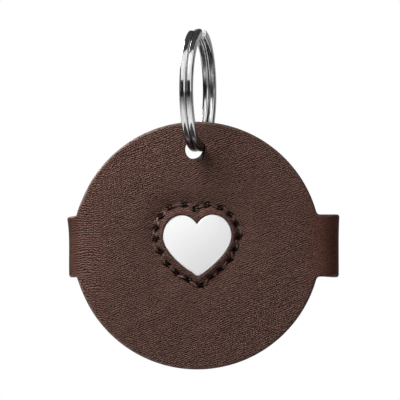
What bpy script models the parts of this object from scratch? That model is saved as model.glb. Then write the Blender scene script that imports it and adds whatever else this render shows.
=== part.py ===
"""Leather dog tag holder with a heart inlay, folded straps, a press stud and a split ring.

The holder hangs from the inside of its split ring, which is the origin. +Z is up, and the
front faces -Y. Sizes are in metres.
"""

import math

import bmesh
import bpy
from mathutils import Matrix, Vector

MM = 0.001
HOLDER = "dog_tag_holder"
CUTTERS = "cutters"

# Leather
LEATHER = 1.5 * MM
DISC_RADIUS = 25.0 * MM
DISC_X = -0.1 * MM
RIM_ROUNDING = 0.35 * MM
ROOT_SHARE = 0.7
STRAP_WIDTH = 12.5 * MM
POCKET_DEPTH = 5.7 * MM
STRAP_GAP = 1.2 * MM
OUTER_PAST_DISC = 3.3 * MM
INNER_PAST_DISC = 0.8 * MM
OUTER_FOLD_RADIUS = 4.2 * MM
INNER_FOLD_RADIUS = 2.8 * MM
OUTER_PAST_SNAP = 9.0 * MM
INNER_PAST_SNAP = 7.5 * MM
STRAP_CORNER = 5.0 * MM
FOLD_CUT = 0.3 * MM

# Ring hole and the slack with which the wire hangs in it
HOLE_RADIUS = 2.05 * MM
HOLE_TO_RIM = 5.7 * MM
HOLE_SHIFT = -0.15 * MM
HANG_SLACK = 0.65 * MM

# Split ring of flattened wire
RING_INNER = 10.65 * MM
RING_WIRE = 1.75 * MM
RING_TURN_WIDTH = 0.95 * MM
RING_TURN_GAP = 0.45 * MM
RING_EDGE = 0.25 * MM
RING_YAW = math.radians(11.8)
RING_CROSSING = math.radians(30.0)
RING_END_GAP = math.radians(4.0)
RING_TURNS = 2

# Heart, its lip of raised leather and its seam
HEART_HALF_WIDTH = 6.97 * MM
HEART_WIDEST_Z = 1.9 * MM
HEART_TIP_Z = -6.35 * MM
LOBE_SHARE = 0.5265
LOBE_HEIGHT = 4.3 * MM
HEART_SIDE_POWER = 1.8
HEART_PROUD = 0.35 * MM
HEART_ROUNDING = 0.3 * MM
FLANGE_REACH = 0.7 * MM
FLANGE_THICKNESS = 0.5 * MM
LIP_REACH = 1.15 * MM
LIP_HEIGHT = 0.45 * MM
PATCH_REACH = 3.3 * MM
PATCH_THICKNESS = 0.7 * MM
SEAM_REACH = 1.8 * MM
STITCHES = 20
STITCH_SLANT = math.radians(35.0)
SLOT_LENGTH = 1.35 * MM
SLOT_WIDTH = 0.75 * MM
NOTCH_TRIM = 0.05 * MM
THREAD = 0.36 * MM
THREAD_OFF_LEATHER = 0.06 * MM
THREAD_MEETING_GAP = 0.3 * MM
THREAD_TURN_SHARE = 0.82
THREAD_DESCENT_SHARE = 0.72
THREAD_RISE_SHARE = 0.45
THREAD_DIP_SHARE = 0.8

# Press stud
SNAP_X = 0.0 * MM
CAP_RADIUS = 5.0 * MM
CAP_HEIGHT = 1.3 * MM
CAP_SHANK = 1.5 * MM
CAP_DOME_SHARES = ((0.45, 0.03), (0.75, 0.16), (0.92, 0.42), (1.0, 0.75))
CAP_FOOT_SHARE = 0.97
SOCKET_RADIUS = 4.0 * MM
SOCKET_THICKNESS = 1.0 * MM
SOCKET_SINK = 0.45 * MM
SOCKET_EASE_SHARE = 0.25
STUD_RADIUS = 3.6 * MM
STUD_FLANGE = 0.45 * MM
STUD_SINK = 0.4 * MM
STUD_HEAD = 1.75 * MM
STUD_NECK = 1.45 * MM
STUD_HEIGHT = 1.35 * MM
STUD_CROWN_SHARE = 0.85
STUD_FALL_SHARES = (0.3, 0.5, 0.75)
POST_RADIUS = 3.4 * MM
POST_FLANGE = 0.35 * MM
POST_SINK = 0.55 * MM
POST_SHANK = 0.8 * MM

# Clearances
CLEAR = 0.3 * MM
SEAT = 0.15 * MM
SNAP_PLAY = 0.4 * MM
SHANK_PLAY = 0.2 * MM
OVERCUT = 1.0 * MM
WELD = 0.001 * MM

# Facets
DISC_SEGMENTS = 128
HOLE_SEGMENTS = 40
ARC_STEPS = 8
SLOT_STEPS = 5
TIP_STEPS = 4
TURNED_STEPS = 28
LOBE_STEPS = 14
SIDE_STEPS = 10
RING_STEPS_PER_TURN = 40

# Places that follow from the sizes
OUTER_REACH = DISC_RADIUS + OUTER_PAST_DISC
INNER_REACH = DISC_RADIUS + INNER_PAST_DISC
DISC_Z = -2 * RING_INNER + HANG_SLACK - HOLE_RADIUS - (DISC_RADIUS - HOLE_TO_RIM)
FRONT = -LEATHER / 2
BACK = LEATHER / 2
INNER_IN = BACK + POCKET_DEPTH
INNER_OUT = INNER_IN + LEATHER
OUTER_IN = INNER_OUT + STRAP_GAP
OUTER_OUT = OUTER_IN + LEATHER
OUTER_PIVOT_Y = (FRONT + OUTER_OUT) / 2
INNER_PIVOT_Y = (FRONT + INNER_OUT) / 2
WIRE_Z = -2 * RING_INNER - RING_WIRE / 2
FLANGE_REAR = BACK
FLANGE_FRONT = FLANGE_REAR - FLANGE_THICKNESS
LIP_FRONT = FRONT - LIP_HEIGHT
PATCH_FRONT = BACK + CLEAR
PATCH_REAR = PATCH_FRONT + PATCH_THICKNESS


def clear_scene():
    """Removes what the scene holds."""
    for item in list(bpy.data.objects):
        bpy.data.objects.remove(item, do_unlink=True)
    for group in list(bpy.data.collections):
        bpy.data.collections.remove(group)


def make_collection(name):
    """A new collection under the scene's own."""
    group = bpy.data.collections.new(name)
    bpy.context.scene.collection.children.link(group)
    return group


def material(name, colour, roughness, metallic=0.0):
    """A Principled material of one plain finish."""
    made = bpy.data.materials.new(name)
    made.use_nodes = True
    shader = made.node_tree.nodes["Principled BSDF"]
    shader.inputs["Base Color"].default_value = (*colour, 1.0)
    shader.inputs["Roughness"].default_value = roughness
    shader.inputs["Metallic"].default_value = metallic
    return made


def add_object(name, data, finish=None):
    """A new object in the holder's collection."""
    made = bpy.data.objects.new(name, data)
    bpy.data.collections[HOLDER].objects.link(made)
    if finish:
        data.materials.append(finish)
    return made


def as_cutter(item):
    """Moves an object to the cutters' collection and hides it from renders."""
    bpy.data.collections[HOLDER].objects.unlink(item)
    bpy.data.collections[CUTTERS].objects.link(item)
    item.hide_render = True
    item.display_type = "WIRE"
    return item


def as_mesh(curve_object, name):
    """Turns a curve object into a mesh object with its caps welded on."""
    bpy.context.view_layer.update()
    graph = bpy.context.evaluated_depsgraph_get()
    mesh = bpy.data.meshes.new_from_object(curve_object.evaluated_get(graph))
    shell = bmesh.new()
    shell.from_mesh(mesh)
    bmesh.ops.remove_doubles(shell, verts=shell.verts, dist=WELD)
    bmesh.ops.recalc_face_normals(shell, faces=shell.faces)
    shell.to_mesh(mesh)
    shell.free()
    made = add_object(name, mesh)
    made.matrix_world = curve_object.matrix_world.copy()
    bpy.data.objects.remove(curve_object, do_unlink=True)
    return made


def plate(name, outlines, thickness, finish=None):
    """A flat plate in its own XY plane, half its thickness to each side."""
    curve = bpy.data.curves.new(name, "CURVE")
    curve.dimensions = "2D"
    curve.fill_mode = "BOTH"
    curve.extrude = thickness / 2
    for outline in outlines:
        spline = curve.splines.new("POLY")
        spline.points.add(len(outline) - 1)
        for point, (x, y) in zip(spline.points, outline):
            point.co = (x, y, 0.0, 1.0)
        spline.use_cyclic_u = True
    made = as_mesh(add_object(name + "_outline", curve), name)
    if finish:
        made.data.materials.append(finish)
    return made


def upright(item, y_from, y_to):
    """Stands a plate up in the XZ plane, centred on the disc between two depths."""
    item.rotation_euler = (math.radians(90), 0, 0)
    item.location = (DISC_X, (y_from + y_to) / 2, DISC_Z)
    return item


def cut(item, cutter, operation="DIFFERENCE"):
    """Adds a Boolean modifier."""
    modifier = item.modifiers.new(cutter.name, "BOOLEAN")
    modifier.operation = operation
    modifier.object = cutter
    modifier.solver = "EXACT"


def bevel(item, width, segments=2, angle=50):
    """Rounds the sharp edges of an object."""
    modifier = item.modifiers.new("rounding", "BEVEL")
    modifier.width = width
    modifier.segments = segments
    modifier.limit_method = "ANGLE"
    modifier.angle_limit = math.radians(angle)


def arc(centre, radius, start, end, steps):
    """Points along an arc, with both ends, from and to angles in degrees."""
    points = []
    for step in range(steps + 1):
        angle = math.radians(start + (end - start) * step / steps)
        points.append((centre[0] + radius * math.cos(angle), centre[1] + radius * math.sin(angle)))
    return points


def stadium(centre, length, width, angle):
    """A slot's outline, with round ends, turned by an angle in radians."""
    half = (length - width) / 2
    ends = arc((half, 0), width / 2, -90, 90, SLOT_STEPS)
    ends += arc((-half, 0), width / 2, 90, 270, SLOT_STEPS)
    turned = []
    for x, y in ends:
        along = x * math.cos(angle) - y * math.sin(angle)
        across = x * math.sin(angle) + y * math.cos(angle)
        turned.append((centre[0] + along, centre[1] + across))
    return turned


def heart_half():
    """The right half of the heart, from its notch to its tip."""
    lobe = HEART_HALF_WIDTH * LOBE_SHARE
    lobe_x = HEART_HALF_WIDTH - lobe
    notch = math.acos(-lobe_x / lobe)
    points = []
    for step in range(LOBE_STEPS + 1):
        angle = notch * (1 - step / LOBE_STEPS)
        x = lobe_x + lobe * math.cos(angle)
        points.append((max(x, 0.0), HEART_WIDEST_Z + LOBE_HEIGHT * math.sin(angle)))
    fall = HEART_WIDEST_Z - HEART_TIP_Z
    for step in range(1, SIDE_STEPS + 1):
        down = step / SIDE_STEPS
        side = HEART_HALF_WIDTH * (1 - down**HEART_SIDE_POWER)
        points.append((max(side, 0.0), HEART_WIDEST_Z - fall * down))
    return points


def offset_half(points, reach):
    """The half heart moved outwards, trimmed at the notch and rounded at the tip."""
    moved = []
    last = len(points) - 1
    for index, (x, y) in enumerate(points):
        before = points[max(index - 1, 0)]
        after = points[min(index + 1, last)]
        run = Vector((after[0] - before[0], after[1] - before[1])).normalized()
        moved.append((x - run.y * reach, y + run.x * reach))
    tip = points[last]
    turn = math.degrees(math.atan2(moved[last][1] - tip[1], moved[last][0] - tip[0]))
    moved = moved[:last] + arc(tip, reach, turn, -90, TIP_STEPS)
    kept = [point for point in moved[:-1] if point[0] > NOTCH_TRIM]
    first = moved.index(kept[0])
    low, high = moved[first - 1], moved[first]
    share = low[0] / (low[0] - high[0])
    notch = (0.0, low[1] + (high[1] - low[1]) * share)
    return [notch] + kept + [(0.0, tip[1] - reach)]


def heart(reach=0.0):
    """The whole heart's outline, grown by a reach."""
    half = offset_half(heart_half(), reach) if reach else heart_half()
    return half + [(-x, y) for x, y in reversed(half[1:-1])]


def along_loop(points, count, per_step):
    """Even places round a closed outline: (point, direction), per_step of them a stitch."""
    lengths = [0.0]
    for index, point in enumerate(points):
        after = points[(index + 1) % len(points)]
        lengths.append(lengths[-1] + math.dist(point, after))
    places = []
    index = 0
    for step in range(count * per_step):
        wanted = lengths[-1] * step / (count * per_step)
        while lengths[index + 1] < wanted:
            index += 1
        here, after = points[index], points[(index + 1) % len(points)]
        share = (wanted - lengths[index]) / (lengths[index + 1] - lengths[index])
        spot = (here[0] + (after[0] - here[0]) * share, here[1] + (after[1] - here[1]) * share)
        places.append((spot, math.atan2(after[1] - here[1], after[0] - here[0])))
    return places


def stitch_holes():
    """Each stitch hole's centre and the angle of its slot."""
    smooth = []
    for (before, _), (spot, _), (after, _) in neighbours(along_loop(heart(SEAM_REACH), STITCHES, 1)):
        run = math.atan2(after[1] - before[1], after[0] - before[0])
        smooth.append((spot, run + STITCH_SLANT))
    return smooth


def neighbours(items):
    """Each item of a closed loop with the one before it and the one after it."""
    count = len(items)
    return [(items[index - 1], items[index], items[(index + 1) % count]) for index in range(count)]


def ring_hole_cutter():
    """The cylinder that punches the ring's hole."""
    shape = bmesh.new()
    bmesh.ops.create_cone(
        shape, cap_ends=True, segments=HOLE_SEGMENTS, radius1=HOLE_RADIUS, radius2=HOLE_RADIUS,
        depth=LEATHER + 2 * OVERCUT,
    )
    mesh = bpy.data.meshes.new("ring_hole")
    shape.to_mesh(mesh)
    shape.free()
    made = add_object("ring_hole", mesh)
    made.rotation_euler = (math.radians(90), 0, 0)
    made.location = (DISC_X + HOLE_SHIFT, 0, DISC_Z + DISC_RADIUS - HOLE_TO_RIM)
    return as_cutter(made)


def stitch_cutter():
    """All the stitch holes, through the front leather and the patch."""
    outlines = [stadium(spot, SLOT_LENGTH, SLOT_WIDTH, angle) for spot, angle in stitch_holes()]
    front, rear = FRONT - OVERCUT, PATCH_REAR + OVERCUT
    return as_cutter(upright(plate("stitch_holes", outlines, rear - front), front, rear))


def strap_root(name, side, reach, radius, pivot_y):
    """An ear from inside the disc round its fold to the cut on the hinge line."""
    start = DISC_RADIUS * ROOT_SHARE
    bend = reach - radius
    cut_y = pivot_y - FOLD_CUT / 2
    outer = arc((bend, FRONT + radius), radius, -90, 0, ARC_STEPS)
    inner = arc((bend, FRONT + radius), radius - LEATHER, 0, -90, ARC_STEPS)
    outline = [(start, FRONT)] + outer + [(reach, cut_y), (reach - LEATHER, cut_y)]
    outline += inner + [(start, BACK)]
    made = plate(name, [[(side * x, y) for x, y in outline]], STRAP_WIDTH)
    made.location = (DISC_X, 0, DISC_Z)
    return as_cutter(made)


def flap(name, side, reach, radius, pivot_y, outside, past_snap, finish):
    """A strap from the hinge line round its fold to its rounded free end."""
    bend = reach - radius
    cut_y = pivot_y + FOLD_CUT / 2
    end = SNAP_X * side - past_snap
    outer = arc((bend, outside - radius), radius, 0, 90, ARC_STEPS)
    inner = arc((bend, outside - radius), radius - LEATHER, 90, 0, ARC_STEPS)
    outline = [(reach, cut_y)] + outer + [(end, outside), (end, outside - LEATHER)]
    outline += inner + [(reach - LEATHER, cut_y)]
    made = plate(name, [[(side * x, y) for x, y in outline]], STRAP_WIDTH, finish)
    made.location = (DISC_X, 0, DISC_Z)
    half = STRAP_WIDTH / 2 + OVERCUT
    round_end = arc((end + STRAP_CORNER, STRAP_WIDTH / 2 - STRAP_CORNER), STRAP_CORNER, 90, 180, ARC_STEPS)
    round_end += [(x, -z) for x, z in reversed(round_end)]
    blank = [(reach + OVERCUT, -half), (reach + OVERCUT, half), (end + STRAP_CORNER, half)]
    blank += round_end + [(end + STRAP_CORNER, -half)]
    low, high = cut_y - OVERCUT, outside + OVERCUT
    trim = plate(name + "_trim", [[(side * x, z) for x, z in blank]], high - low)
    cut(made, as_cutter(upright(trim, low, high)), "INTERSECT")
    return made


def front_panel(finish, stitches):
    """The round front with both ears' roots, heart window, lip, stitch holes and ring hole."""
    shape = bmesh.new()
    bmesh.ops.create_cone(
        shape, cap_ends=True, segments=DISC_SEGMENTS, radius1=DISC_RADIUS, radius2=DISC_RADIUS,
        depth=LEATHER,
    )
    mesh = bpy.data.meshes.new("front_panel")
    shape.to_mesh(mesh)
    shape.free()
    panel = add_object("front_panel", mesh, finish)
    upright(panel, FRONT, BACK)
    bevel(panel, RIM_ROUNDING)
    for name, side, reach, radius, pivot_y in (
        ("outer_root", 1, OUTER_REACH, OUTER_FOLD_RADIUS, OUTER_PIVOT_Y),
        ("inner_root", -1, INNER_REACH, INNER_FOLD_RADIUS, INNER_PIVOT_Y),
    ):
        cut(panel, strap_root(name, side, reach, radius, pivot_y), "UNION")
    lip = plate("lip", [heart(LIP_REACH)], LIP_HEIGHT + LEATHER / 2)
    bevel(lip, HEART_ROUNDING)
    cut(panel, as_cutter(upright(lip, LIP_FRONT, 0)), "UNION")
    window = plate("window", [heart(CLEAR)], LEATHER + LIP_HEIGHT + 2 * OVERCUT)
    cut(panel, as_cutter(upright(window, LIP_FRONT - OVERCUT, BACK + OVERCUT)))
    pocket_front = FLANGE_FRONT - CLEAR
    seat = plate("flange_seat", [heart(FLANGE_REACH + CLEAR)], BACK + OVERCUT - pocket_front)
    cut(panel, as_cutter(upright(seat, pocket_front, BACK + OVERCUT)))
    cut(panel, stitches)
    cut(panel, ring_hole_cutter())
    return panel


def heart_inlay(finish):
    """The white heart, with the flange that the lip holds."""
    front = LIP_FRONT - HEART_PROUD
    inside = (FLANGE_FRONT + FLANGE_REAR) / 2
    made = upright(plate("heart_inlay", [heart()], inside - front, finish), front, inside)
    bevel(made, HEART_ROUNDING)
    flange = plate("flange", [heart(FLANGE_REACH)], FLANGE_THICKNESS)
    cut(made, as_cutter(upright(flange, FLANGE_FRONT, FLANGE_REAR)), "UNION")
    return made


def backing_patch(finish, stitches):
    """The thin patch behind the heart."""
    patch = plate("backing_patch", [heart(PATCH_REACH)], PATCH_THICKNESS, finish)
    upright(patch, PATCH_FRONT, PATCH_REAR)
    cut(patch, stitches)
    return patch


def thread(name, face, outwards, finish):
    """A closed thread that lies on a face between the holes and dips into each of them."""
    lift = face + outwards * (THREAD / 2 + THREAD_OFF_LEATHER)
    middle = (FRONT + PATCH_REAR) / 2
    deep = middle + outwards * (THREAD_MEETING_GAP + THREAD) / 2
    reach = (SLOT_LENGTH - THREAD) / 2 - SEAT / 2
    over = face + outwards * THREAD * THREAD_RISE_SHARE
    under = face - outwards * THREAD * THREAD_DIP_SHARE
    half_way = (face + deep) / 2
    profile = [
        (-1.0, over), (-THREAD_TURN_SHARE, under), (-THREAD_DESCENT_SHARE, half_way), (0.0, deep),
        (THREAD_DESCENT_SHARE, half_way), (THREAD_TURN_SHARE, under), (1.0, over),
    ]
    holes = stitch_holes()
    points = []
    for index, (spot, angle) in enumerate(holes):
        after, after_angle = holes[(index + 1) % len(holes)]
        for share, depth in profile:
            along = share * reach
            points.append((spot[0] + along * math.cos(angle), spot[1] + along * math.sin(angle), depth))
        leave = Vector((points[-1][0], points[-1][1]))
        arrive = Vector((after[0] - reach * math.cos(after_angle), after[1] - reach * math.sin(after_angle)))
        middle_way = (leave + arrive) / 2
        points.append((middle_way.x, middle_way.y, lift))
    curve = bpy.data.curves.new(name, "CURVE")
    curve.dimensions = "3D"
    curve.bevel_depth = THREAD / 2
    curve.bevel_resolution = 1
    spline = curve.splines.new("POLY")
    spline.points.add(len(points) - 1)
    for point, (x, z, y) in zip(spline.points, points):
        point.co = (x, y, z, 1.0)
    spline.use_cyclic_u = True
    curve.materials.append(finish)
    made = add_object(name, curve)
    made.location = (DISC_X, 0, DISC_Z)
    return made


def turned(name, profile, finish=None):
    """A turned piece about the press stud's axis, from (radius, depth along +Y) down its outside."""
    mesh = bpy.data.meshes.new(name)
    corners = [(radius, 0, depth) for radius, depth in profile]
    edges = [(index, index + 1) for index in range(len(corners) - 1)]
    if profile[0][0] > 0:
        edges.append((len(corners) - 1, 0))
    mesh.from_pydata(corners, edges, [])
    made = add_object(name, mesh, finish)
    made.rotation_euler = (math.radians(-90), 0, 0)
    made.location = (DISC_X + SNAP_X, 0, DISC_Z)
    screw = made.modifiers.new("turning", "SCREW")
    screw.steps = TURNED_STEPS
    screw.render_steps = TURNED_STEPS
    screw.use_merge_vertices = True
    screw.merge_threshold = WELD
    return made


def bore_cutter(name, radius, low, high):
    """A round cutter on the press stud's axis."""
    return as_cutter(turned(name, [(0, high), (radius, high), (radius, low), (0, low)]))


def snap_cap(finish):
    """The cap on the outer strap, with the shank that goes through the leather."""
    under = OUTER_OUT + SEAT
    top = under + CAP_HEIGHT
    shank_end = OUTER_IN + SOCKET_SINK + 2 * SEAT
    dome = [(out * CAP_RADIUS, top - down * CAP_HEIGHT) for out, down in CAP_DOME_SHARES]
    profile = [(0, top)] + dome + [
        (CAP_FOOT_SHARE * CAP_RADIUS, under), (CAP_SHANK, under), (CAP_SHANK, shank_end), (0, shank_end),
    ]
    return turned("snap_cap", profile, finish)


def snap_socket(finish):
    """The ring-shaped socket under the outer strap."""
    high = OUTER_IN + SOCKET_SINK - SEAT
    low = high - SOCKET_THICKNESS
    bore = STUD_HEAD + SNAP_PLAY
    ease = SOCKET_EASE_SHARE * SOCKET_THICKNESS
    profile = [
        (bore, high), (SOCKET_RADIUS, high), (SOCKET_RADIUS, low + ease),
        (SOCKET_RADIUS - ease, low), (bore, low),
    ]
    return turned("snap_socket", profile, finish)


def snap_stud(finish):
    """The stud on the inner strap, hollow for its post."""
    low = INNER_OUT - STUD_SINK + SEAT
    step = low + STUD_FLANGE
    top = step + STUD_HEIGHT
    bore = POST_SHANK + SHANK_PLAY
    shoulder, belly, neck = (top - fall * STUD_HEIGHT for fall in STUD_FALL_SHARES)
    profile = [
        (bore, top), (STUD_CROWN_SHARE * STUD_HEAD, top), (STUD_HEAD, shoulder), (STUD_HEAD, belly),
        (STUD_NECK, neck), (STUD_NECK, step), (STUD_RADIUS, step), (STUD_RADIUS, low), (bore, low),
    ]
    return turned("snap_stud", profile, finish)


def snap_post(finish):
    """The flanged post that comes through the inner strap from the pocket."""
    low = INNER_IN + POST_SINK - SEAT - POST_FLANGE
    flange = low + POST_FLANGE
    top = INNER_OUT - STUD_SINK + SEAT + STUD_FLANGE + STUD_HEIGHT - SEAT
    profile = [
        (0, top), (POST_SHANK, top), (POST_SHANK, flange), (POST_RADIUS, flange),
        (POST_RADIUS, low), (0, low),
    ]
    return turned("snap_post", profile, finish)


def ring_path():
    """The split ring's centre line in its own plane, with the crossing at its top."""
    radius = RING_INNER + RING_WIRE / 2
    half_pitch = (RING_TURN_WIDTH + RING_TURN_GAP) / 2
    start = RING_CROSSING / 2 + RING_END_GAP
    end = RING_TURNS * math.tau - start
    steps = RING_STEPS_PER_TURN * RING_TURNS
    points = []
    for step in range(steps + 1):
        turn = start + (end - start) * step / steps
        share = (turn - math.tau + RING_CROSSING / 2) / RING_CROSSING
        share = min(max(share, 0.0), 1.0)
        side = half_pitch * (2 * share * share * (3 - 2 * share) - 1)
        angle = turn + math.radians(90)
        points.append((radius * math.cos(angle), radius * math.sin(angle), side))
    return points


def least_gap(points):
    """The least distance between the ring's two turns, less the width of one."""
    apart = RING_STEPS_PER_TURN // 2
    least = min(
        math.dist(points[first], points[second])
        for first in range(len(points))
        for second in range(first + apart, len(points))
    )
    return least - RING_TURN_WIDTH


def split_ring(finish):
    """Two turns of flattened wire, one unbroken length that crosses over at the top."""
    section = bpy.data.curves.new("wire_section", "CURVE")
    section.dimensions = "2D"
    across, along = RING_WIRE / 2, RING_TURN_WIDTH / 2
    corners = [
        (across, along - RING_EDGE), (across, -along + RING_EDGE), (across - RING_EDGE, -along),
        (-across + RING_EDGE, -along), (-across, -along + RING_EDGE), (-across, along - RING_EDGE),
        (-across + RING_EDGE, along), (across - RING_EDGE, along),
    ]
    spline = section.splines.new("POLY")
    spline.points.add(len(corners) - 1)
    for point, (x, y) in zip(spline.points, corners):
        point.co = (x, y, 0.0, 1.0)
    spline.use_cyclic_u = True
    guide = as_cutter(add_object("wire_section", section))
    points = ring_path()
    print(f"split ring: least gap between turns {least_gap(points) / MM:.2f} mm")
    curve = bpy.data.curves.new("split_ring", "CURVE")
    curve.dimensions = "3D"
    curve.twist_mode = "Z_UP"
    curve.bevel_mode = "OBJECT"
    curve.bevel_object = guide
    curve.use_fill_caps = True
    wire = curve.splines.new("POLY")
    wire.points.add(len(points) - 1)
    for point, place in zip(wire.points, points):
        point.co = (*place, 1.0)
    curve.materials.append(finish)
    made = add_object("split_ring", curve)
    made.rotation_euler = (math.radians(90), 0, math.radians(90) - RING_YAW)
    made.location = (0, 0, -RING_INNER)
    return made


def pivot(name, place, pieces, parent=None):
    """An empty on a joint's axis that carries the pieces of one moving body."""
    empty = bpy.data.objects.new(name, None)
    bpy.data.collections[HOLDER].objects.link(empty)
    empty.matrix_world = Matrix.Translation(Vector(place))
    inverse = empty.matrix_world.inverted()
    for piece in pieces:
        piece.parent = empty
        piece.matrix_parent_inverse = inverse
    if parent:
        empty.parent = parent
        empty.matrix_parent_inverse = parent.matrix_world.inverted()
    return empty


def build():
    """Makes every piece and hangs each body on its pivot."""
    clear_scene()
    make_collection(HOLDER)
    make_collection(CUTTERS)
    leather = material("brown_leather", (0.075, 0.042, 0.034), 0.55)
    white = material("white_inlay", (0.86, 0.86, 0.86), 0.35)
    yarn = material("brown_thread", (0.05, 0.026, 0.02), 0.7)
    steel = material("ring_steel", (0.62, 0.62, 0.63), 0.12, 1.0)
    nickel = material("snap_nickel", (0.55, 0.55, 0.54), 0.25, 1.0)

    stitches = stitch_cutter()
    panel = front_panel(leather, stitches)
    inlay = heart_inlay(white)
    patch = backing_patch(leather, stitches)
    needle = thread("needle_thread", FRONT, -1, yarn)
    bobbin = thread("bobbin_thread", PATCH_REAR, 1, yarn)

    outer = flap(
        "outer_flap", 1, OUTER_REACH, OUTER_FOLD_RADIUS, OUTER_PIVOT_Y, OUTER_OUT, OUTER_PAST_SNAP, leather
    )
    cut(outer, bore_cutter("cap_hole", CAP_SHANK + CLEAR, OUTER_IN - OVERCUT, OUTER_OUT + OVERCUT))
    socket_floor = OUTER_IN + SOCKET_SINK
    cut(outer, bore_cutter("socket_seat", SOCKET_RADIUS + CLEAR, OUTER_IN - OVERCUT, socket_floor))
    inner = flap(
        "inner_flap", -1, INNER_REACH, INNER_FOLD_RADIUS, INNER_PIVOT_Y, INNER_OUT, INNER_PAST_SNAP, leather
    )
    cut(inner, bore_cutter("post_hole", POST_SHANK + CLEAR, INNER_IN - OVERCUT, INNER_OUT + OVERCUT))
    cut(inner, bore_cutter("post_seat", POST_RADIUS + CLEAR, INNER_IN - OVERCUT, INNER_IN + POST_SINK))
    cut(inner, bore_cutter("stud_seat", STUD_RADIUS + CLEAR, INNER_OUT - STUD_SINK, INNER_OUT + OVERCUT))

    cap = snap_cap(nickel)
    socket = snap_socket(nickel)
    stud = snap_stud(nickel)
    post = snap_post(nickel)
    split_ring(steel)

    swing = pivot("holder_swing_axis", (0, 0, WIRE_Z), [panel, inlay, patch, needle, bobbin])
    bpy.context.view_layer.update()
    pivot("outer_fold_axis", (DISC_X + OUTER_REACH, OUTER_PIVOT_Y, DISC_Z), [outer, cap, socket], swing)
    pivot("inner_fold_axis", (DISC_X - INNER_REACH, INNER_PIVOT_Y, DISC_Z), [inner, stud, post], swing)
    bpy.context.view_layer.update()


build()
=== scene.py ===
"""Looks of a leather dog tag holder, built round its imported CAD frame.

The holder hangs from its split ring, whose inside top is the origin. +Z is up and the front
faces -Y. Shapes are worked out in millimetres from the middle of the round front, and turned
into metres in the frame where a mesh is made.
"""

import logging
import math
from collections.abc import Callable, Sequence
from dataclasses import dataclass
from enum import Enum

import bpy
import numpy as np
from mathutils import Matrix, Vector
from mathutils.geometry import delaunay_2d_cdt


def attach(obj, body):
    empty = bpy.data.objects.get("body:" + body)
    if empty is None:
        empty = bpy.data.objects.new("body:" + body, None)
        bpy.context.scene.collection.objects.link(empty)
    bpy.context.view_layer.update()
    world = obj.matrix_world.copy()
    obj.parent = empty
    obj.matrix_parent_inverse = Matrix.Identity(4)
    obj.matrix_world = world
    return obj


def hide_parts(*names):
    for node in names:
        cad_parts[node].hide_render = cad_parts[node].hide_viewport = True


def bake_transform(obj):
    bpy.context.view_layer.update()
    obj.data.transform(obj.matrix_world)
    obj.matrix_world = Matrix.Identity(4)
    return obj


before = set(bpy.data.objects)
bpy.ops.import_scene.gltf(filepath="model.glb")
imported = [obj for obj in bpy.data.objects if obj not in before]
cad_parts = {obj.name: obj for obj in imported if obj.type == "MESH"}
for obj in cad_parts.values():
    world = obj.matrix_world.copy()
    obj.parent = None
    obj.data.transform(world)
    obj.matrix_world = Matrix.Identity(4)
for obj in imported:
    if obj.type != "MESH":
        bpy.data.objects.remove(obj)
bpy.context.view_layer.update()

MM = 0.001
PATTERN = "pattern"
CENTRE = Vector((-0.1, 0.0, -42.0))
AT_ONCE = 1000
CORNER_STEP = math.radians(15)
TRIM = 0.004
LOG = logging.getLogger("dog_tag_holder")

Point = tuple[float, float]
Triple = tuple[float, float, float]
Loop = list[Point]


class Socket:
    """A shader socket that adds a Math node wherever it is used in an expression."""

    def __init__(self, shader: "Shader", link: bpy.types.NodeSocket) -> None:
        """Keeps the shader that the socket belongs to, and the socket.

        Args:
            shader: The material being built.
            link: An output socket of one of its nodes.
        """
        self.shader = shader
        self.link = link

    def math(self, operation: str, *others: "Socket | float", swap: bool = False) -> "Socket":
        """Adds a Math node.

        Args:
            operation: The Math node's operation.
            others: Its further inputs.
            swap: Whether the first of the others comes before this socket.

        Returns:
            The node's value.
        """
        values = [self, *others]
        if swap:
            values[0], values[1] = values[1], values[0]
        made = self.shader.node("Math", {"operation": operation}, dict(enumerate(values)))
        return made("Value")

    def __add__(self, other: "Socket | float") -> "Socket":
        """This plus the other."""
        return self.math("ADD", other)

    def __radd__(self, other: float) -> "Socket":
        """The other plus this."""
        return self.math("ADD", other)

    def __sub__(self, other: "Socket | float") -> "Socket":
        """This less the other."""
        return self.math("SUBTRACT", other)

    def __rsub__(self, other: float) -> "Socket":
        """The other less this."""
        return self.math("SUBTRACT", other, swap=True)

    def __mul__(self, other: "Socket | float") -> "Socket":
        """This times the other."""
        return self.math("MULTIPLY", other)

    def __rmul__(self, other: float) -> "Socket":
        """The other times this."""
        return self.math("MULTIPLY", other)

    def __truediv__(self, other: "Socket | float") -> "Socket":
        """This divided by the other."""
        return self.math("DIVIDE", other)

    def __rtruediv__(self, other: float) -> "Socket":
        """The other divided by this."""
        return self.math("DIVIDE", other, swap=True)

    def between(self, low: float, high: float) -> "Socket":
        """Rises smoothly from 0 at low to 1 at high, or falls where high is the smaller.

        Args:
            low: The value that gives 0.
            high: The value that gives 1.

        Returns:
            The smooth step.
        """
        made = self.shader.node(
            "MapRange",
            {"interpolation_type": "SMOOTHSTEP"},
            {"Value": self, "From Min": low, "From Max": high},
        )
        return made("Result")


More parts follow.
